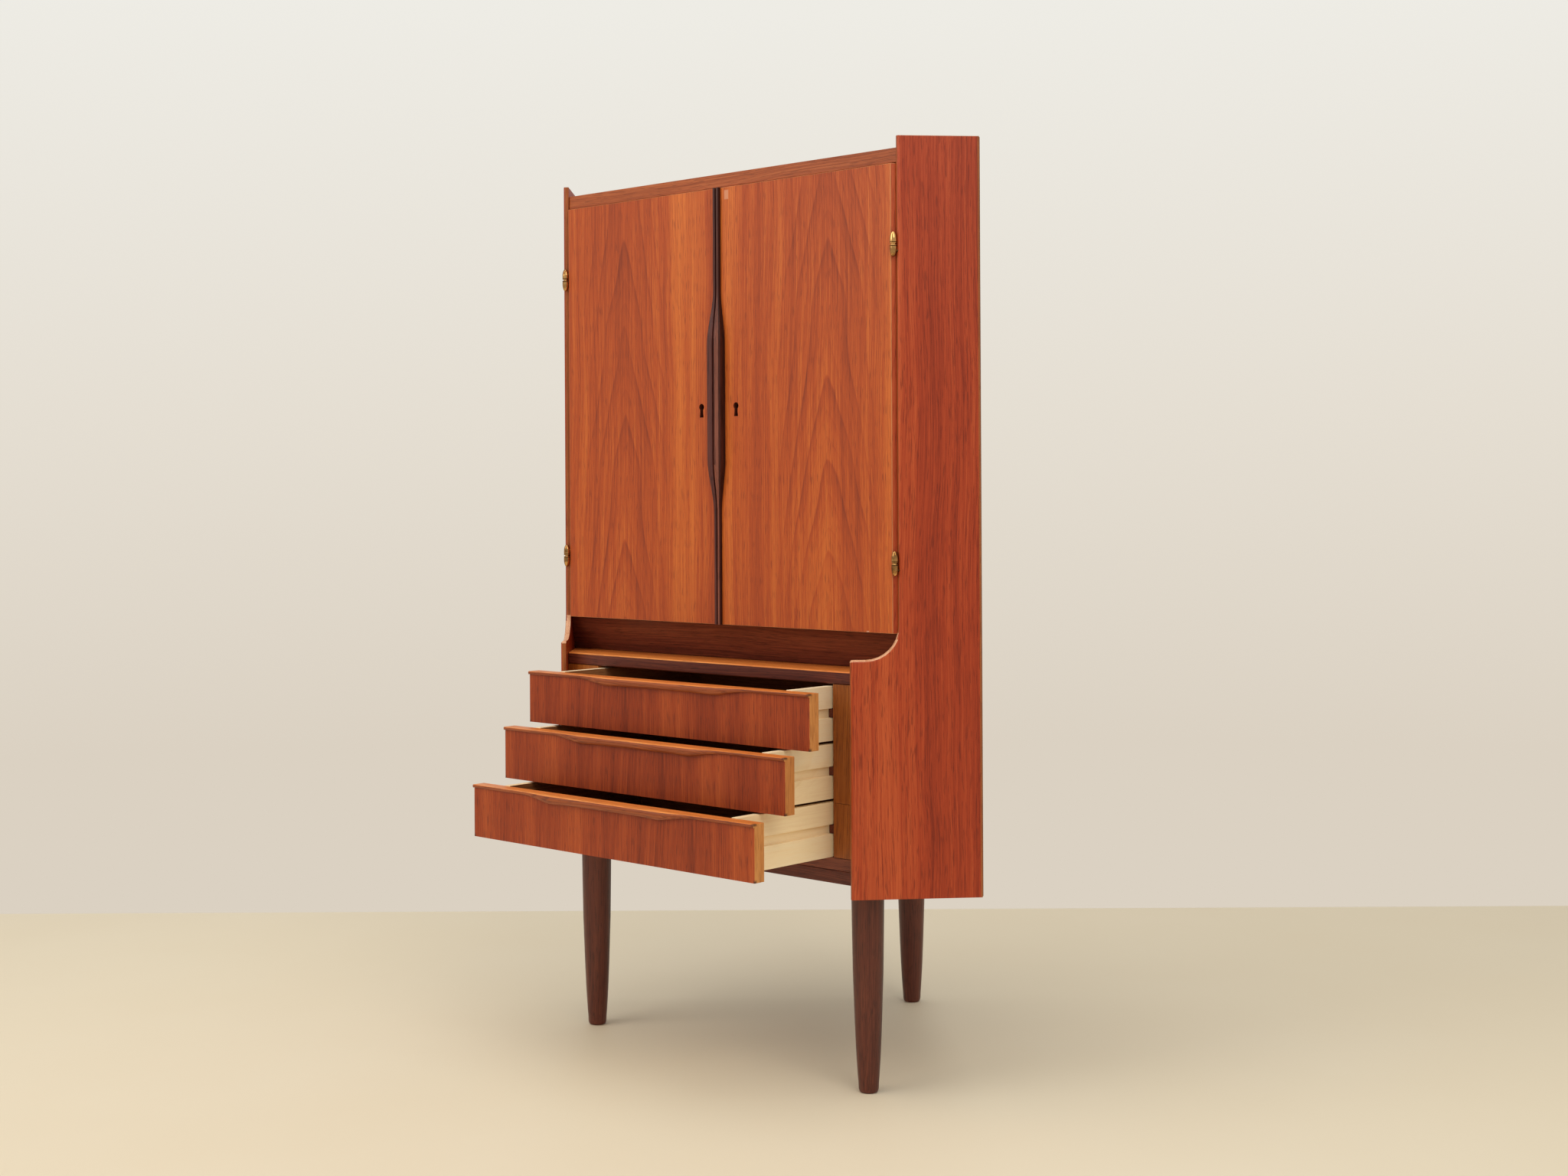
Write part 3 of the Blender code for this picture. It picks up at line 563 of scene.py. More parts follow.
# Painted shade: a darkened wood for the drawers' inner faces, standing in for the shade inside them.
SHADED_INSIDE = WoodFinish(
    "inside", (104, 60, 32), (140, 88, 52), (166, 114, 72), (90, 52, 28), arches=0.1, streaks=0.8, shine=0.1
)
TEAK_DARK = WoodFinish(
    "teak_dark", (50, 18, 12), (96, 42, 30), (136, 72, 48), (38, 12, 6), arches=0.05, streaks=1.1
)
DOOR_LINE = WoodFinish(
    "door_line", (146, 80, 42), (184, 112, 66), (204, 138, 90), (130, 70, 36), arches=0.0, streaks=0.8
)
LIPPING = WoodFinish(
    "lipping", (150, 82, 34), (196, 126, 62), (220, 156, 88), (130, 70, 32), arches=0.0, streaks=0.8
)
STILE_WOOD = WoodFinish(
    "stile_wood", (104, 46, 8), (156, 84, 28), (188, 112, 44), (84, 38, 8), arches=0.05, streaks=0.8
)
LEG_WOOD = WoodFinish(
    "leg_wood", (40, 10, 6), (82, 34, 22), (108, 52, 34), (34, 10, 6), arches=0.05, streaks=1.0, coat=0.2
)
# Painted shade: the left pull's rosewood is darker than the right pull's, standing in for shade on its front.
ROSEWOOD_LEFT_SHADED = WoodFinish(
    "rosewood_left",
    (38, 10, 10),
    (70, 28, 24),
    (104, 54, 46),
    (28, 8, 8),
    arches=0.0,
    streaks=1.0,
    coat=0.1,
)
ROSEWOOD_RIGHT = WoodFinish(
    "rosewood_right",
    (50, 20, 14),
    (104, 52, 38),
    (140, 80, 60),
    (38, 14, 12),
    arches=0.0,
    streaks=1.6,
    coat=0.1,
)
# Painted shade: a darkened rosewood for the pulls' outer flanks, standing in for the shade on them.
ROSEWOOD_SHADED_FLANK = WoodFinish(
    "rosewood_flank", (26, 8, 6), (54, 22, 16), (82, 40, 30), (20, 6, 4), arches=0.0, streaks=1.2, shine=0.2
)
PINE = WoodFinish(
    "pine",
    (234, 196, 144),
    (252, 226, 180),
    (255, 240, 208),
    (226, 182, 126),
    arches=0.12,
    arch_width=0.012,
    streaks=0.6,
    fibres=0.2,
    pores=0.1,
    rough=(0.5, 0.62),
    coat=0.0,
)
INNER_WOOD = WoodFinish(
    "inner_wood", (118, 62, 34), (150, 88, 50), (176, 112, 68), (92, 48, 28), arches=0.1, streaks=0.8
)
BACK_PLY = WoodFinish(
    "back_ply",
    (96, 60, 38),
    (128, 84, 54),
    (150, 104, 70),
    (78, 46, 30),
    arches=0.15,
    streaks=0.7,
    rough=(0.6, 0.75),
    coat=0.0,
)
BRASS = MetalFinish("brass", (222, 172, 108), (132, 88, 48), rough=(0.08, 0.18))
# Painted shade: a darkened brass for the hinge grooves and pins, standing in for the shade in and around them.
SHADED_BRASS = MetalFinish("pin_brass", (96, 66, 34), (56, 36, 18), rough=(0.3, 0.5))
# Painted shade: the lock's steel is darkened so that it reads as the shade seen through the keyhole.
SHADED_LOCK_STEEL = MetalFinish("lock_steel", (58, 50, 42), (26, 22, 18), rough=(0.45, 0.6))


# Mesh helpers


def add_piece(
    name: str,
    shape: bmesh.types.BMesh,
    materials: Sequence[bpy.types.Material],
    body: str,
    nodes: Sequence[str] = (),
    smooth: float = 35.0,
) -> bpy.types.Object:
    """Turns a bmesh into a finished piece of the cabinet.

    Args:
        name: The piece's name.
        shape: Its mesh in the cabinet's frame. It is freed.
        materials: Its materials, in the order its faces use.
        body: The moving body that it rides on.
        nodes: The frame's nodes that it stands for.
        smooth: The angle in degrees over which edges stay sharp.

    Returns:
        The new object.
    """
    bmesh.ops.remove_doubles(shape, verts=shape.verts, dist=1e-6)
    bmesh.ops.recalc_face_normals(shape, faces=shape.faces)
    mesh = bpy.data.meshes.new(name)
    shape.to_mesh(mesh)
    shape.free()
    for material in materials:
        mesh.materials.append(material)
    mesh.shade_smooth()
    mesh.set_sharp_from_angle(angle=math.radians(smooth))
    made = bpy.data.objects.new(name, mesh)
    bpy.context.scene.collection.objects.link(made)
    weighted = made.modifiers.new("even shading", "WEIGHTED_NORMAL")
    weighted.keep_sharp = True
    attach(made, body)
    if nodes:
        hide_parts(*nodes)
    log.info("%s rides on %s", name, body)
    return made


def rounded_copy(node: str, width: float, segments: int = 2, shortest: float = 0.006) -> bmesh.types.BMesh:
    """A copy of a frame node's shape with its long sharp edges eased.

    Args:
        node: The frame's node.
        width: How wide each eased edge is, in metres.
        segments: Steps in each eased edge.
        shortest: Edges shorter than this stay as they are.

    Returns:
        The new shape.
    """
    shape = bmesh.new()
    shape.from_mesh(frame["nodes"][node].data)
    bmesh.ops.remove_doubles(shape, verts=shape.verts, dist=MERGE_WITHIN)
    bmesh.ops.dissolve_limit(shape, angle_limit=FLAT_WITHIN, verts=shape.verts, edges=shape.edges)
    edges = [
        edge
        for edge in shape.edges
        if len(edge.link_faces) == 2
        and edge.calc_face_angle(0.0) > SHARP_ABOVE
        and edge.calc_length() > shortest
    ]
    bmesh.ops.bevel(
        shape,
        geom=edges,
        offset=width,
        segments=segments,
        profile=0.5,
        affect="EDGES",
        clamp_overlap=True,
        material=-1,
    )
    return shape


def box_shape(low: Sequence[float], high: Sequence[float]) -> bmesh.types.BMesh:
    """A sharp box between two corners.

    Args:
        low: The lowest corner.
        high: The highest corner.

    Returns:
        The new shape.
    """
    shape = bmesh.new()
    size = Vector(high) - Vector(low)
    place = Matrix.Translation((Vector(low) + Vector(high)) / 2) @ Matrix.Diagonal((*size, 1.0))
    bmesh.ops.create_cube(shape, size=1.0, matrix=place)
    return shape


def ease_edges(shape: bmesh.types.BMesh, width: float) -> None:
    """Rounds every edge of a shape a little.

    Args:
        shape: The shape to ease.
        width: How wide each eased edge is.
    """
    bmesh.ops.bevel(
        shape,
        geom=shape.edges[:],
        offset=width,
        segments=2,
        profile=0.5,
        affect="EDGES",
        material=-1,
    )


def swept(sections: Sequence[Sequence[Vector]]) -> bmesh.types.BMesh:
    """Grows a face through a row of sections, each with the same number of corners.

    Args:
        sections: The corners of each section, in matching order.

    Returns:
        A closed shape.
    """
    shape = bmesh.new()
    cap = shape.faces.new([shape.verts.new(point) for point in sections[0]])
    face = cap
    for section in sections[1:]:
        grown = bmesh.ops.extrude_face_region(shape, geom=[face])
        # Only the first and the last section keep their faces, as the shape's ends.
        if face != cap:
            bmesh.ops.delete(shape, geom=[face], context="FACES_ONLY")
        face = next(item for item in grown["geom"] if isinstance(item, bmesh.types.BMFace))
        for corner, point in zip(face.verts, section):
            corner.co = point
    return shape


def spun(profile: Sequence[tuple[float, float]], axis: Vector, steps: int) -> bmesh.types.BMesh:
    """Turns a profile about an upright axis.

    Args:
        profile: Radius and height of each point, from the axis round to the axis.
        axis: A point on the axis, whose height is added to the profile's.
        steps: How many sides the turned shape has.

    Returns:
        A closed shape.
    """
    shape = bmesh.new()
    points = [shape.verts.new(axis + Vector((radius, 0.0, height))) for radius, height in profile]
    edges = [shape.edges.new(pair) for pair in zip(points, points[1:])]
    bmesh.ops.spin(
        shape,
        geom=points + edges,
        cent=axis,
        axis=(0.0, 0.0, 1.0),
        angle=2 * math.pi,
        steps=steps,
        use_merge=True,
    )
    bmesh.ops.remove_doubles(shape, verts=shape.verts, dist=1e-6)
    return shape


def rod(start: Vector, end: Vector, radius: float, steps: int = 24) -> bmesh.types.BMesh:
    """A round rod between two points.

    Args:
        start: The middle of one end.
        end: The middle of the other.
        radius: Half its thickness.
        steps: How many sides it has.

    Returns:
        The new shape.
    """
    shape = bmesh.new()
    length = (end - start).length
    turn = (end - start).to_track_quat("Z", "Y").to_matrix().to_4x4()
    bmesh.ops.create_cone(
        shape,
        cap_ends=True,
        segments=steps,
        radius1=radius,
        radius2=radius,
        depth=length,
        matrix=Matrix.Translation((start + end) / 2) @ turn,
    )
    return shape


def paint_faces(shape: bmesh.types.BMesh, index: int, test: Callable[[bmesh.types.BMFace], bool]) -> None:
    """Gives the faces that pass a test another material.

    Args:
        shape: The shape to paint.
        index: The material's place in the piece's list.
        test: Says whether a face is painted.
    """
    for face in shape.faces:
        if test(face):
            face.material_index = index


def middle_of(node: str) -> Vector:
    """The centre of a frame node's box."""
    low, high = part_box(node)
    return (low + high) / 2


# Sub-assemblies


@dataclass
class Case:
    """The fixed boards of the cabinet."""

    panel_ease: float = 0.0016
    back_edge: float = 0.006
    flat_boards: tuple[tuple[str, WoodFinish, Grain, float], ...] = (
        ("top_board", TEAK_RAIL, Grain.ACROSS, 0.0010),
        ("cabinet_floor", INNER_WOOD, Grain.ACROSS, 0.0006),
        ("drawer_case_top", TEAK_DARK, Grain.ACROSS, 0.0022),
        ("bottom_board", TEAK_DARK, Grain.ACROSS, 0.0010),
        ("bottom_rail", TEAK_DARK, Grain.ACROSS, 0.0008),
        ("riser", TEAK_DARK, Grain.ACROSS, 0.0006),
        ("inner_shelf_1", INNER_WOOD, Grain.ACROSS, 0.0008),
        ("inner_shelf_2", INNER_WOOD, Grain.ACROSS, 0.0008),
        ("corner_post", INNER_WOOD, Grain.UPRIGHT, 0.0006),
        ("door_stop", INNER_WOOD, Grain.ACROSS, 0.0010),
        ("partition_right", INNER_WOOD, Grain.UPRIGHT, 0.0005),
        ("partition_left", INNER_WOOD, Grain.UPRIGHT, 0.0005),
        ("stile_right_lower", STILE_WOOD, Grain.UPRIGHT, 0.0004),
        ("stile_right_upper", STILE_WOOD, Grain.UPRIGHT, 0.0004),
        ("stile_left_lower", STILE_WOOD, Grain.UPRIGHT, 0.0004),
        ("stile_left_upper", STILE_WOOD, Grain.UPRIGHT, 0.0004),
    )
    slots: dict[str, str] = field(default_factory=dict)

    def build(self) -> None:
        """Builds every fixed board."""
        self.slots = {item["node"]: item["material_slot"] for item in frame["record"]["subparts"]}
        for node, finish, grain, ease in self.flat_boards:
            self.add_board(node, finish, grain, ease)
        for side in Side:
            self.add_panel(side)
            self.add_back(side)
            for level in ("low", "middle", "top"):
                self.add_board(f"runner_{level}_{side.word}", TEAK_DARK, Grain.INWARD, 0.0006)

    def add_board(self, node: str, finish: WoodFinish, grain: Grain, ease: float) -> None:
        """Adds one straight board.

        Args:
            node: The frame's node that it stands for.
            finish: Its wood.
            grain: The way its grain runs.
            ease: How much its edges are eased.
        """
        shape = rounded_copy(node, ease)
        centre = middle_of(node) + FIGURE_SHIFT
        materials = [finish.dress(node, grain, centre)]
        if node == "drawer_case_top":
            # The case top's upward faces get the lighter teak as a painted highlight.
            materials.append(TEAK_LIT_TOP.dress(f"{node}_upper", grain, centre))
            paint_faces(shape, 1, lambda face: face.normal.z > 0.3)
        add_piece(f"{node}_wood", shape, materials, "case", [node])

    def add_panel(self, side: Side) -> None:
        """Adds one flared side panel, with its lighter edge strips and a painted highlight on its upward-facing
        edge faces.

        Args:
            side: The side that it stands on.
        """
        node = f"side_panel_{side.word}"
        shape = rounded_copy(node, self.panel_ease, shortest=0.03)
        grain = Grain.FLARED_RIGHT if side is Side.RIGHT else Grain.FLARED_LEFT
        material = TEAK_SIDE.dress(node, grain, middle_of(node) + Vector((side.value * 0.05, 0.0, 0.1)))
        edge = TEAK_EDGE.dress(f"{node}_edge", grain, middle_of(node))
        low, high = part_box(node)
        back = high.x if side is Side.RIGHT else low.x
        outward = Vector((side.value * math.sin(FLARE), -math.cos(FLARE), 0.0))
        paint_faces(shape, 1, lambda face: abs(face.calc_center_median().x - back) < self.back_edge)
        paint_faces(shape, 1, lambda face: abs(face.normal.dot(outward)) < 0.6)
        # Upward-facing edge faces get the pale teak as a painted highlight.
        paint_faces(shape, 2, lambda face: abs(face.normal.dot(outward)) < 0.95 and face.normal.z > 0.25)
        edge_highlight = TEAK_EDGE_HIGHLIGHT.dress(f"{node}_arris", grain, middle_of(node))
        add_piece(f"{node}_wood", shape, [material, edge, edge_highlight], "case", [node])

    def add_back(self, side: Side) -> None:
        """Adds one thin back panel.

        Args:
            side: The side that it stands on.
        """
        node = f"back_panel_{side.word}"
        grain = Grain.BACK_RIGHT if side is Side.RIGHT else Grain.BACK_LEFT
        material = BACK_PLY.dress(node, grain, middle_of(node))
        add_piece(f"{node}_wood", rounded_copy(node, 0.0003), [material], "case", [node])


@dataclass
class Door:
    """One door with its pull, keyhole and lock."""

    side: Side
    mitre: float = 0.014
    ease: float = 0.0007
    figure_right: float = 0.237
    figure_left: float = -0.222
    figure_lift: float = 0.13
    keyhole_radius: float = 0.0056
    keyhole_mouth: float = 52.0
    keyhole_waist: float = 0.0034
    keyhole_waist_drop: float = 0.009
    keyhole_foot: float = 0.0045
    keyhole_drop: float = 0.0168
    lock_lift: float = 0.005
    swell_low: float = 0.255
    swell_high: float = 0.765
    swell_run: float = 0.125

    @property
    def body(self) -> str:
        """The body that the door rides on."""
        return f"door_{self.side.word}"

    def build(self) -> None:
        """Builds the whole door."""
        self.add_slab()
        self.add_pull()
        self.add_lock()

    def add_slab(self) -> None:
        """Adds the veneered slab with its slanted outer edge and its keyhole."""
        node = self.body
        low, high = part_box(node)
        shape = box_shape(low, high)
        outer = high.x if self.side is Side.RIGHT else low.x
        for corner in shape.verts:
            if abs(corner.co.x - outer) < 1e-5 and corner.co.y < (low.y + high.y) / 2:
                corner.co.x -= self.side.value * self.mitre
        ease_edges(shape, self.ease)
        along = self.figure_right if self.side is Side.RIGHT else self.figure_left
        centre = Vector((along, low.y, (low.z + high.z) / 2))
        arch_centre = centre + Vector((0.0, 0.0, self.figure_lift * self.side.value))
        material = TEAK_DOOR.dress(node, Grain.UPRIGHT, arch_centre, self.marks(low, high))
        shape.normal_update()
        edge = TEAK_SIDE.dress(f"{node}_edge", Grain.UPRIGHT, centre)
        line = DOOR_LINE.dress(f"{node}_line", Grain.UPRIGHT, centre)
        paint_faces(shape, 1, lambda face: abs(face.normal.x) > 0.5)
        paint_faces(shape, 2, lambda face: face.calc_area() < 0.001 and -0.98 < face.normal.y < -0.2)
        slab = add_piece(f"{node}_slab", shape, [material, edge, line], node, [node])
        self.cut_keyhole(slab)

    def marks(self, low: Vector, high: Vector) -> list[Mark]:
        """The repair and the chip that only the right door has.

        Args:
            low: The lowest corner of the door's box.
            high: The highest corner of the door's box.

        Returns:
            The marks.
        """
        if self.side is Side.LEFT:
            return []
        patch = Mark((0.0195, low.y, high.z - 0.0125), (0.0050, 0.004, 0.0082), (214, 150, 116), 0.75, 0.2)
        chip = Mark((0.315, low.y, low.z + 0.001), (0.0030, 0.004, 0.0018), (214, 160, 130), 0.9, 0.4)
        return [patch, chip]

    def cut_keyhole(self, slab: bpy.types.Object) -> None:
        """Cuts the keyhole: a round head, a narrow waist and a wider foot.

        Args:
            slab: The door's slab, which keeps its place and gets the cut mesh.
        """
        centre = self.keyhole_centre()
        outline: list[tuple[float, float]] = []
        for step in range(25):
            angle = math.radians(-self.keyhole_mouth + (180 + 2 * self.keyhole_mouth) * step / 24)
            outline.append((self.keyhole_radius * math.cos(angle), self.keyhole_radius * math.sin(angle)))
        outline.append((-self.keyhole_waist, -self.keyhole_waist_drop))
        outline.append((-self.keyhole_foot, -self.keyhole_drop))
        outline.append((self.keyhole_foot, -self.keyhole_drop))
        outline.append((self.keyhole_waist, -self.keyhole_waist_drop))
        sections = []
        for depth in (-0.02, 0.04):
            sections.append([centre + Vector((x, depth, z)) for x, z in outline])
        shape = swept(sections)
        bmesh.ops.recalc_face_normals(shape, faces=shape.faces)
        mesh = bpy.data.meshes.new("keyhole")
        shape.to_mesh(mesh)
        shape.free()
        cutter = bpy.data.objects.new("keyhole", mesh)
        bpy.context.scene.collection.objects.link(cutter)
        cut = slab.modifiers.new("keyhole", "BOOLEAN")
        cut.solver = "EXACT"
        cut.object = cutter
        slab.modifiers.move(len(slab.modifiers) - 1, 0)
        done = bpy.data.meshes.new_from_object(slab.evaluated_get(bpy.context.evaluated_depsgraph_get()))
        slab.modifiers.clear()
        slab.data = done
        # The keyhole's cut walls get the dark teak as painted shade inside the hole.
        done.materials.append(TEAK_DARK.dress(f"{self.body}_keyhole", Grain.UPRIGHT, centre))
        for face in done.polygons:
            away = face.center - centre
            if abs(away.x) < 0.01 and abs(away.z) < 0.03 and abs(face.normal.y) < 0.5:
                face.material_index = 3
        bpy.data.objects.remove(cutter)

    def keyhole_centre(self) -> Vector:
        """The middle of the keyhole's round head on the door's face."""
        lock = middle_of(f"lock_{self.side.word}")
        return Vector((lock.x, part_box(self.body)[0].y, lock.z + self.lock_lift))

    def add_pull(self) -> None:
        """Adds the carved pull that runs up the meeting edge."""
        node = f"door_pull_{self.side.word}"
        low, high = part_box(node)
        tall = high.z - low.z
        sections = []
        shares = [0.0, 0.05, 0.12, 0.2] + [0.25 + 0.52 * step / 36 for step in range(37)] + [0.82, 0.9, 1.0]
        for share in shares:
            growing = smooth_step((share - self.swell_low) / self.swell_run)
            falling = smooth_step((self.swell_high - share) / self.swell_run)
            sections.append(self.pull_section(min(growing, falling), low, high, low.z + share * tall))
        # The left pull takes the darker rosewood as painted shade.
        wood = ROSEWOOD_RIGHT if self.side is Side.RIGHT else ROSEWOOD_LEFT_SHADED
        face = wood.dress(node, Grain.UPRIGHT, middle_of(node))
        shaded_flank = ROSEWOOD_SHADED_FLANK.dress(f"{node}_flank", Grain.UPRIGHT, middle_of(node))
        shape = swept(sections)
        bmesh.ops.recalc_face_normals(shape, faces=shape.faces)
        shape.normal_update()
        # The outer flanks get the darker rosewood as painted shade.
        paint_faces(shape, 1, lambda side: side.normal.x * self.side.value > 0.3)
        add_piece(f"{node}_wood", shape, [face, shaded_flank], self.body, [node], smooth=50)

    def pull_section(self, swell: float, low: Vector, high: Vector, height: float) -> list[Vector]:
        """One level section of the pull.

        Args:
            swell: 0 at the thin ends and 1 in the full middle.
            low: The lowest corner of the pull's box.
            high: The highest corner of the pull's box.
            height: The section's height.

        Returns:
            Its corners.
        """
        sign = self.side.value
        seam = min(abs(low.x), abs(high.x))
        full = max(abs(low.x), abs(high.x)) - seam
        width = full * (0.38 + 0.62 * swell)
        inner = seam + 0.0003 * swell
        rise = (high.y - low.y) * (0.42 + 0.58 * swell)
        face = high.y - rise
        bend = 0.3 * width
        dish = 0.07 * rise * swell
        outer = inner + width
        points = [(inner, high.y), (outer, high.y), (outer, face + bend)]
        for step in range(1, 6):
            angle = math.pi / 2 * step / 5
            points.append((outer - bend * (1 - math.cos(angle)), face + bend * (1 - math.sin(angle))))
        for step in range(1, 6):
            share = step / 6
            x = outer - bend - (width - bend - 0.0008) * share
            points.append((x, face + dish * math.sin(math.pi * share)))
        points.append((inner + 0.0008, face))
        points.append((inner + 0.0002, face + 0.0003))
        points.append((inner, face + 0.0009))
        return [Vector((sign * x, y, height)) for x, y in points]

    def add_lock(self) -> None:
        """Adds the lock case behind the keyhole, with its screws."""
        node = f"lock_{self.side.word}"
        low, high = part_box(node)
        shape = rounded_copy(node, 0.0008)
        # The case takes the darkened steel as painted shade behind the keyhole.
        add_piece(f"{node}_case", shape, [SHADED_LOCK_STEEL.dress(node)], self.body, [node])
        for index, (x, z) in enumerate(((0.15, 0.1), (0.85, 0.1), (0.15, 0.9), (0.85, 0.9))):
            spot = Vector((low.x + x * (high.x - low.x), high.y, low.z + z * (high.z - low.z)))
            head = rod(spot + Vector((0, -0.0005, 0)), spot + Vector((0, 0.0008, 0)), 0.0026)
            add_piece(f"{node}_screw_{index}", head, [BRASS.dress(f"{node}_screw_{index}")], self.body)


@dataclass
class BulletHinge:
    """A two-part hinge with olive-shaped barrels."""

    side: Side
    level: str
    steps: int = 32
    barrel: float = 0.0053
    ring: float = 0.0055
    groove: float = 0.0050
    groove_middle: float = 0.0028
    tip: float = 0.0009
    arm_length: float = 0.020
    arm_radius: float = 0.002
    arm_offset: float = 0.010

    @property
    def name(self) -> str:
        """The hinge's name in the frame."""
        return f"hinge_{self.side.word}_{self.level}"

    def build(self) -> None:
        """Builds both halves, and the pins that hold them."""
        joint = next(j for j in frame["joints"] if j["name"] == f"door_{self.side.word}_hinge")
        x, y, _ = joint["pos_m"]
        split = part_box(f"{self.name}_door")[0].z - 0.0002
        axis = Vector((x, y, split))
        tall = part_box(f"{self.name}_door")[1].z - split
        arms = {
            "panel": (-1, Vector((self.side.value * math.cos(FLARE), math.sin(FLARE), 0.0)), "case"),
            "door": (1, Vector((-0.8 * self.side.value, 0.6, 0.0)), f"door_{self.side.word}"),
        }
        for half, (way, arm, body) in arms.items():
            shape = spun(self.profile(tall, way), axis, self.steps)
            node = f"{self.name}_{half}"
            metals = [BRASS.dress(node), SHADED_BRASS.dress(f"{node}_groove")]
            # Groove faces get the darkened brass as painted shade.
            paint_faces(shape, 1, lambda face: self.is_groove(face, split))
            add_piece(f"{node}_brass", shape, metals, body, [node])
            start = axis + Vector((0.0, 0.0, way * self.arm_offset))
            pin = rod(start, start + arm * self.arm_length, self.arm_radius)
            # The pin is darkened brass as painted shade.
            add_piece(f"{node}_pin", pin, [SHADED_BRASS.dress(f"{node}_pin")], body)

    def is_groove(self, face: bmesh.types.BMFace, split: float) -> bool:
        """Whether a face lies in the groove beside the split, which gets painted shade."""
        return abs(abs(face.calc_center_median().z - split) - self.groove_middle) < 0.0005

    def profile(self, tall: float, way: int) -> list[tuple[float, float]]:
        """Half of the olive, from the split to its tip.

        Args:
            tall: The half's height.
            way: 1 for the upper half and -1 for the lower one.

        Returns:
            Radius and height of each point.
        """
        full = self.barrel
        neck = full - 0.0018
        points = [(0.0, 0.0002), (neck, 0.0002), (neck, 0.0008), (full - 0.0001, 0.0010)]
        points += [(self.ring, 0.0014), (self.ring, 0.0021), (self.groove, 0.0024)]
        points += [(self.groove, 0.0031), (full, 0.0034), (full, 0.0052)]
        dome = tall * 0.6
        for step in range(9):
            angle = math.pi / 2 * step / 8
            radius = self.tip + (full - self.tip) * math.cos(angle) ** 0.9
            points.append((radius, tall - dome + (dome - 0.0004) * math.sin(angle) ** 1.15))
        points.append((0.0, tall))
        return [(radius, way * height) for radius, height in points]


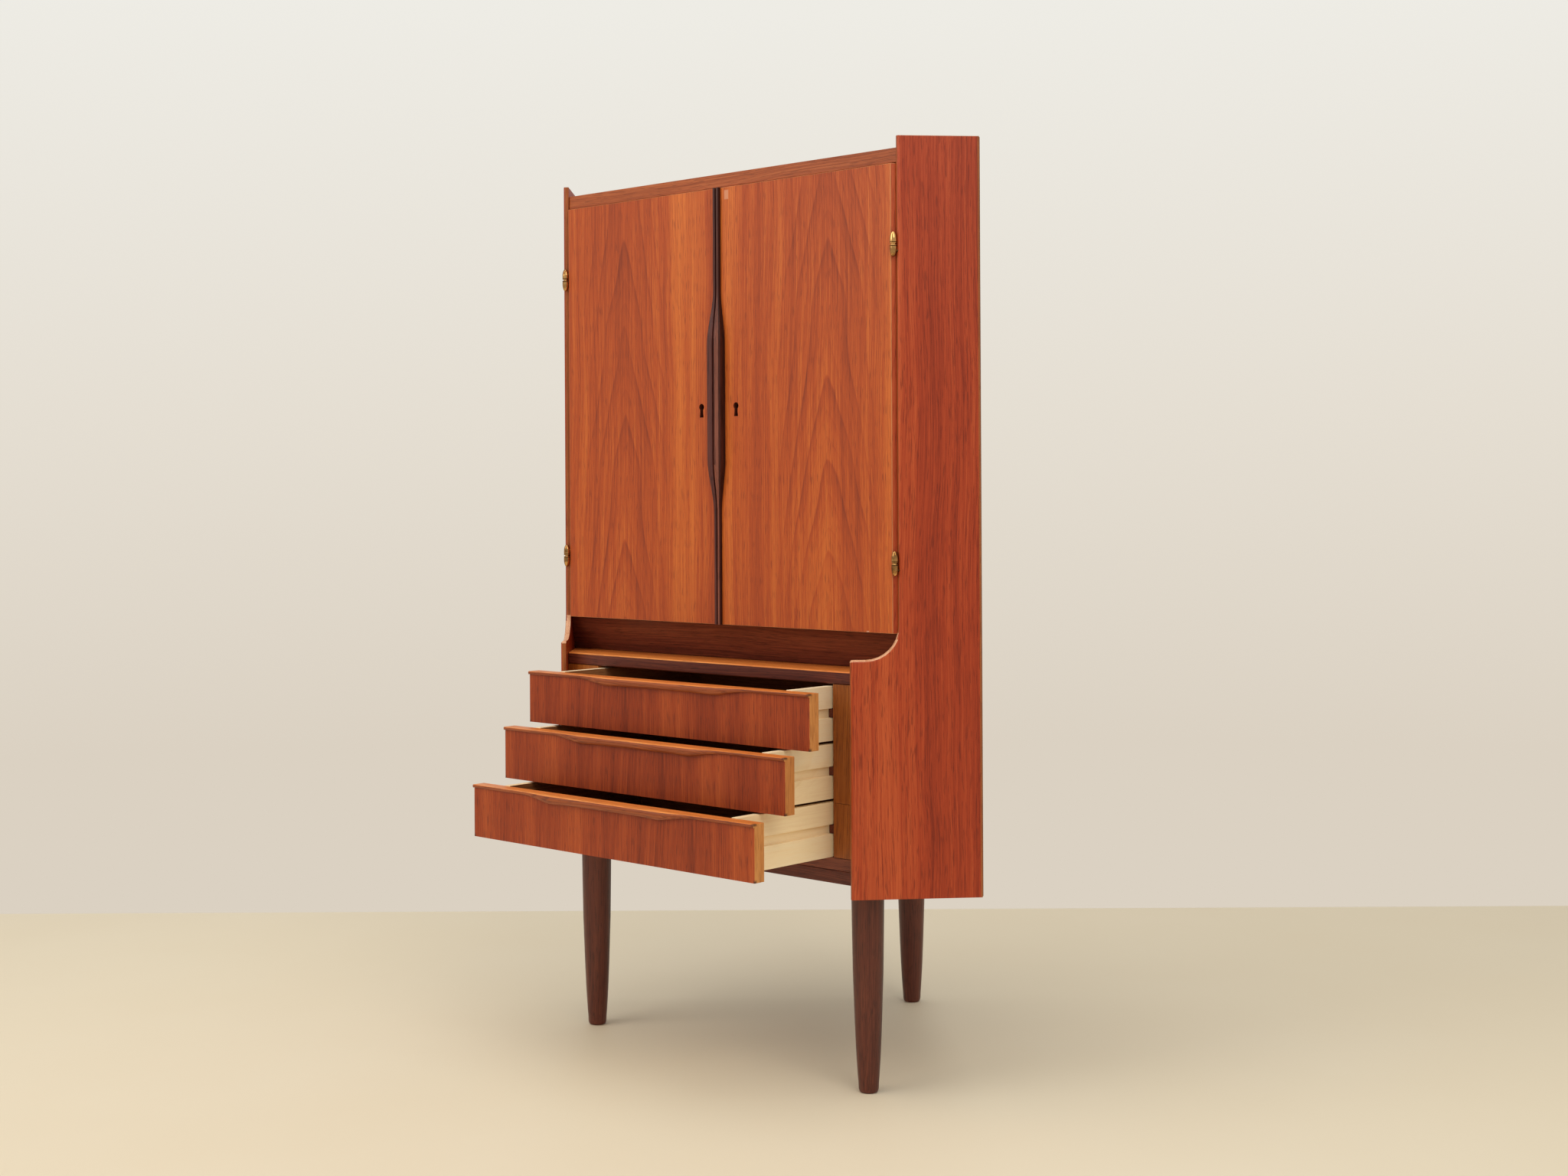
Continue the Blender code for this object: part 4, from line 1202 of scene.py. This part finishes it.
@dataclass
class Drawer:
    """One drawer: a veneered front with a carved lip, and a pine box."""

    level: str
    seed: float
    thick: float = 0.020
    lip_rise: float = 0.0037
    lip_height: float = 0.0050
    grip_rise: float = 0.0090
    grip_height: float = 0.0120
    droop: float = 0.0014
    grip_half: float = 0.118
    taper: float = 0.075
    lobe_width: float = 0.026
    end_ease: float = 0.0006

    @property
    def body(self) -> str:
        """The body that the drawer rides on."""
        return f"drawer_{self.level}"

    def build(self) -> None:
        """Builds the whole drawer."""
        self.add_front()
        for part in ("side_left", "side_right", "back", "bottom"):
            node = f"{self.body}_{part}"
            grain = Grain.ACROSS if part in ("back", "bottom") else Grain.INWARD
            centre = middle_of(node) + Vector((self.seed, 0.2 * self.seed, 0.01))
            materials = [PINE.dress(node, grain, centre), SHADED_INSIDE.dress(f"{node}_inside", grain, centre)]
            shape = rounded_copy(node, 0.0006)
            inward = -1.0 if part == "side_right" else 1.0
            # The inner faces get the darkened wood as painted shade.
            if part in ("back", "bottom"):
                paint_faces(shape, 1, lambda face: face.normal.z > 0.9 or face.normal.y < -0.9)
            else:
                paint_faces(shape, 1, lambda face, way=inward: face.normal.x * way > 0.9)
            add_piece(f"{node}_wood", shape, materials, self.body, [node])

    def add_front(self) -> None:
        """Adds the front, whose lip swells into a grip with a lobe at each end."""
        node = f"{self.body}_front"
        low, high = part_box(node)
        half = high.x
        reach = self.grip_half + self.taper
        inside = [half - self.end_ease, reach + 0.05, reach + 0.02]
        inside += [reach - 1.75 * self.taper * step / 22 for step in range(23)]
        inside += [self.grip_half * 0.45, self.grip_half * 0.2]
        stations = [half] + inside
        places = [-x for x in stations] + [0.0] + stations[::-1]
        sections = [self.front_section(x, low, high, abs(x) >= half - 1e-6) for x in places]
        shape = swept(sections)
        bmesh.ops.recalc_face_normals(shape, faces=shape.faces)
        face_y = high.y - self.thick
        veneer_top = high.z - self.lip_height
        paint_faces(shape, 1, lambda face: self.is_lip(face, face_y, high.z, veneer_top))
        paint_faces(shape, 2, lambda face: abs(face.normal.x) > 0.7)
        # Upward faces of the lip get the lighter teak as a painted highlight.
        paint_faces(shape, 3, lambda face: face.normal.z > 0.75)
        centre = Vector((self.seed, face_y, (low.z + high.z) / 2))
        nicks = []
        for sign in (1, -1):
            nicks.append(Mark((sign * half, face_y, low.z), (0.004, 0.005, 0.005), (52, 24, 16), 0.85, 0.6))
        nicks.append(Mark((half, face_y, high.z), (0.006, 0.006, 0.004), (62, 30, 20), 0.8, 0.6))
        materials = [
            TEAK_DRAWER.dress(node, Grain.UPRIGHT, centre, nicks),
            TEAK_LIP.dress(f"{node}_lip", Grain.ACROSS, centre + Vector((0.0, 0.0, 0.05)), nicks),
            LIPPING.dress(f"{node}_end", Grain.UPRIGHT, centre, nicks),
            TEAK_LIT_TOP.dress(f"{node}_top", Grain.ACROSS, centre + Vector((0.0, 0.0, 0.05)), nicks),
        ]
        add_piece(f"{node}_wood", shape, materials, self.body, [node], smooth=40)

    def is_lip(self, face: bmesh.types.BMFace, face_y: float, top: float, veneer_top: float) -> bool:
        """Whether a face belongs to the solid lip and not to the veneer.

        Args:
            face: The face.
            face_y: Where the front's flat face lies.
            top: The front's top.
            veneer_top: Where the veneer ends and the lip starts.

        Returns:
            True for the lip.
        """
        middle = face.calc_center_median()
        return middle.y < face_y - 0.0002 or middle.z > top - 0.0003 or (
            middle.z > veneer_top and middle.y < face_y + 0.001
        )

    def front_section(self, x: float, low: Vector, high: Vector, end: bool) -> list[Vector]:
        """The front's outline at one place along it.

        Args:
            x: The place.
            low: The lowest corner of the front's box.
            high: The highest corner of the front's box.
            end: Whether this is the very end, which is eased a little.

        Returns:
            Its corners, from the back's foot round the lip to the face's foot.
        """
        swell = smooth_step(1.0 - (abs(x) - self.grip_half) / self.taper)
        lobe = math.exp(-(((abs(x) - self.grip_half) / self.lobe_width) ** 2))
        rise = self.lip_rise + (self.grip_rise - self.lip_rise) * swell
        tall = self.lip_height + (self.grip_height - self.lip_height) * swell + self.droop * lobe * swell
        face = high.y - self.thick
        nose = face - rise
        ease = self.end_ease if end else 0.0
        top = high.z - ease
        foot = low.z + ease
        outline = [(high.y - ease, foot), (high.y - ease, top)]
        outline.append((face + 0.004, top))
        for step in range(7):
            angle = math.pi / 2 * step / 6
            y = nose + 0.6 * rise * (1 - math.sin(angle)) + ease
            outline.append((y, top - 0.42 * tall * (1 - math.cos(angle))))
        for step in range(1, 7):
            angle = math.pi / 2 * step / 6
            y = nose + 0.45 * rise * (1 - math.cos(angle)) + ease
            outline.append((y, top - tall * (0.42 + 0.58 * math.sin(angle))))
        outline.append((face - 0.0002 + ease, top - 0.9 * tall))
        outline.append((face + ease, top - 0.9 * tall - 0.0006))
        outline.append((face + ease, foot))
        return [Vector((x, y, z)) for y, z in outline]


@dataclass
class Leg:
    """One tapered turned leg."""

    name: str
    seed: float
    steps: int = 64
    top_ease: float = 0.0006
    top_gap: float = 0.0003
    foot_round: float = 0.009

    def build(self) -> None:
        """Builds the leg from the box of its frame node."""
        low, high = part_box(self.name)
        radius = (high.x - low.x) / 2
        axis = Vector(((low.x + high.x) / 2, (low.y + high.y) / 2, 0.0))
        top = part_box("bottom_board")[0].z - self.top_gap
        profile = [(0.0, top), (radius - self.top_ease, top), (radius, top - self.top_ease)]
        for height, share in ((0.26, 0.975), (0.184, 0.929), (0.11, 0.83), (0.07, 0.765), (0.045, 0.711)):
            profile.append((radius * share, height))
        profile += [(radius * 0.655, 0.024), (radius * 0.625, 0.015)]
        for step in range(1, 6):
            angle = math.pi / 2 * step / 5
            height = self.foot_round * (1 - math.sin(angle))
            profile.append((radius * (0.495 + 0.12 * math.cos(angle)), height))
        profile.append((0.0, 0.0))
        material = LEG_WOOD.dress(self.name, Grain.UPRIGHT, axis + Vector((self.seed, self.seed, 0.0)))
        shape = spun(profile, axis, self.steps)
        add_piece(f"{self.name}_wood", shape, [material], "case", [self.name], smooth=30)


@dataclass
class Studio:
    """The camera, the pale floor and the soft lights."""

    case_front: float = 0.2019882
    camera_place: tuple[float, float, float] = (2.3485, -2.3431, 0.9125)
    yaw: float = -42.6027
    pitch: float = -0.0621
    roll: float = -0.2963
    lens: float = 47.435
    shift: float = -0.0586
    floor_half: float = 3.2
    floor_far: float = 1.07

    def build(self) -> None:
        """Builds everything around the cabinet."""
        self.add_camera()
        self.add_floor()
        self.add_world()
        self.add_light("key", (-1.3, -3.2, 3.1), (0.0, 0.0, 1.5), 2.8, 50.0, (1.0, 0.96, 0.9))
        self.add_light("fill", (3.0, -1.4, 3.0), (0.4, 0.0, 1.5), 1.8, 27.0, (1.0, 0.95, 0.88))
        self.add_light("top", (0.5, -0.7, 4.2), (0.1, 0.0, 0.6), 3.0, 41.0, (1.0, 0.98, 0.95))

    def add_camera(self) -> None:
        """Adds the camera at eye level before the right front corner."""
        yaw, pitch, roll = (math.radians(angle) for angle in (self.yaw, self.pitch, self.roll))
        forward = Vector((math.sin(yaw), math.cos(yaw), 0.0))
        right = Vector((math.cos(yaw), -math.sin(yaw), 0.0))
        up = Vector((0.0, 0.0, 1.0))
        ahead = forward * math.cos(pitch) + up * math.sin(pitch)
        above = -forward * math.sin(pitch) + up * math.cos(pitch)
        across = right * math.cos(roll) + above * math.sin(roll)
        upward = -right * math.sin(roll) + above * math.cos(roll)
        turn = Matrix((across, upward, -ahead)).transposed().to_4x4()
        place = Vector(self.camera_place) - Vector((0.0, self.case_front, 0.0))
        data = bpy.data.cameras.new("camera")
        data.sensor_fit = "HORIZONTAL"
        data.sensor_width = 36.0
        data.lens = self.lens
        data.shift_y = self.shift
        camera = bpy.data.objects.new("camera", data)
        camera.matrix_world = Matrix.Translation(place) @ turn
        bpy.context.scene.collection.objects.link(camera)
        bpy.context.scene.camera = camera

    def add_floor(self) -> None:
        """Adds the plain pale floor, whose far edge lies square to the view."""
        shape = bmesh.new()
        bmesh.ops.create_grid(shape, x_segments=1, y_segments=1, size=1.0)
        yaw = math.radians(self.yaw)
        depth = self.floor_far + self.floor_half
        size = Matrix.Diagonal((self.floor_half, depth / 2, 1.0, 1.0))
        shift = Matrix.Translation((0.0, self.floor_far - depth / 2, -0.0004))
        bmesh.ops.transform(shape, matrix=Matrix.Rotation(-yaw, 4, "Z") @ shift @ size, verts=shape.verts)
        mesh = bpy.data.meshes.new("floor")
        shape.to_mesh(mesh)
        shape.free()
        floor = bpy.data.objects.new("floor", mesh)
        bpy.context.scene.collection.objects.link(floor)
        material = bpy.data.materials.new("pale_floor")
        material.use_nodes = True
        wiring = Wiring(material.node_tree)
        shader = material.node_tree.nodes["Principled BSDF"]
        spot = wiring.node("TexCoord").outputs["Object"]
        cloud = wiring.noise(spot, (1.5, 1.5, 1.5), 3.0, 0.5)
        colour = wiring.mix(cloud, linear((232, 217, 189)), linear((237, 225, 201)))
        wiring.join(colour, shader.inputs["Base Color"])
        shader.inputs["Roughness"].default_value = 0.6
        mesh.materials.append(material)

    def add_world(self) -> None:
        """Sets a soft cream surround that is brighter overhead, and plain colour rendering."""
        world = bpy.data.worlds.new("surround")
        bpy.context.scene.world = world
        world.use_nodes = True
        wiring = Wiring(world.node_tree)
        split = wiring.node("SeparateXYZ")
        wiring.join(wiring.node("TexCoord").outputs["Generated"], split.inputs[0])
        rise = wiring.maths("MULTIPLY_ADD", split.outputs["Z"], 2.9, 0.34, clamp=True)
        colour = wiring.ramp(rise, ((0.0, (219, 209, 194)), (0.45, (229, 222, 210)), (1.0, (238, 236, 229))))
        back = world.node_tree.nodes["Background"]
        seen = wiring.node("LightPath").outputs["Is Camera Ray"]
        wiring.join(colour, back.inputs["Color"])
        wiring.join(wiring.maths("MULTIPLY_ADD", seen, 0.3, 0.7), back.inputs["Strength"])
        bpy.context.scene.view_settings.view_transform = "Standard"

    def add_light(
        self,
        name: str,
        place: Sequence[float],
        target: Sequence[float],
        size: float,
        power: float,
        tint: Sequence[float],
    ) -> None:
        """Adds one soft light.

        Args:
            name: The light's name.
            place: Where it hangs.
            target: Where it points.
            size: The side of its square face.
            power: Its power in watts.
            tint: Its colour.
        """
        data = bpy.data.lights.new(name, "AREA")
        data.size = size
        data.energy = power
        data.color = tint
        light = bpy.data.objects.new(name, data)
        light.location = place
        light.rotation_euler = (Vector(target) - Vector(place)).to_track_quat("-Z", "Y").to_euler()
        bpy.context.scene.collection.objects.link(light)


def main() -> None:
    """Builds the cabinet's looks in order."""
    logging.basicConfig(level=logging.INFO, format="%(name)s: %(message)s")
    Studio().build()
    Case().build()
    for side in Side:
        Door(side).build()
        for level in ("high", "low"):
            BulletHinge(side, level).build()
    for level, seed in (("low", 0.15), ("middle", 0.02), ("top", -0.12)):
        Drawer(level, seed).build()
    for name, seed in (("leg_right", 0.004), ("leg_left", 0.011), ("leg_rear", 0.019)):
        Leg(name, seed).build()


if __name__ == "__main__":
    main()
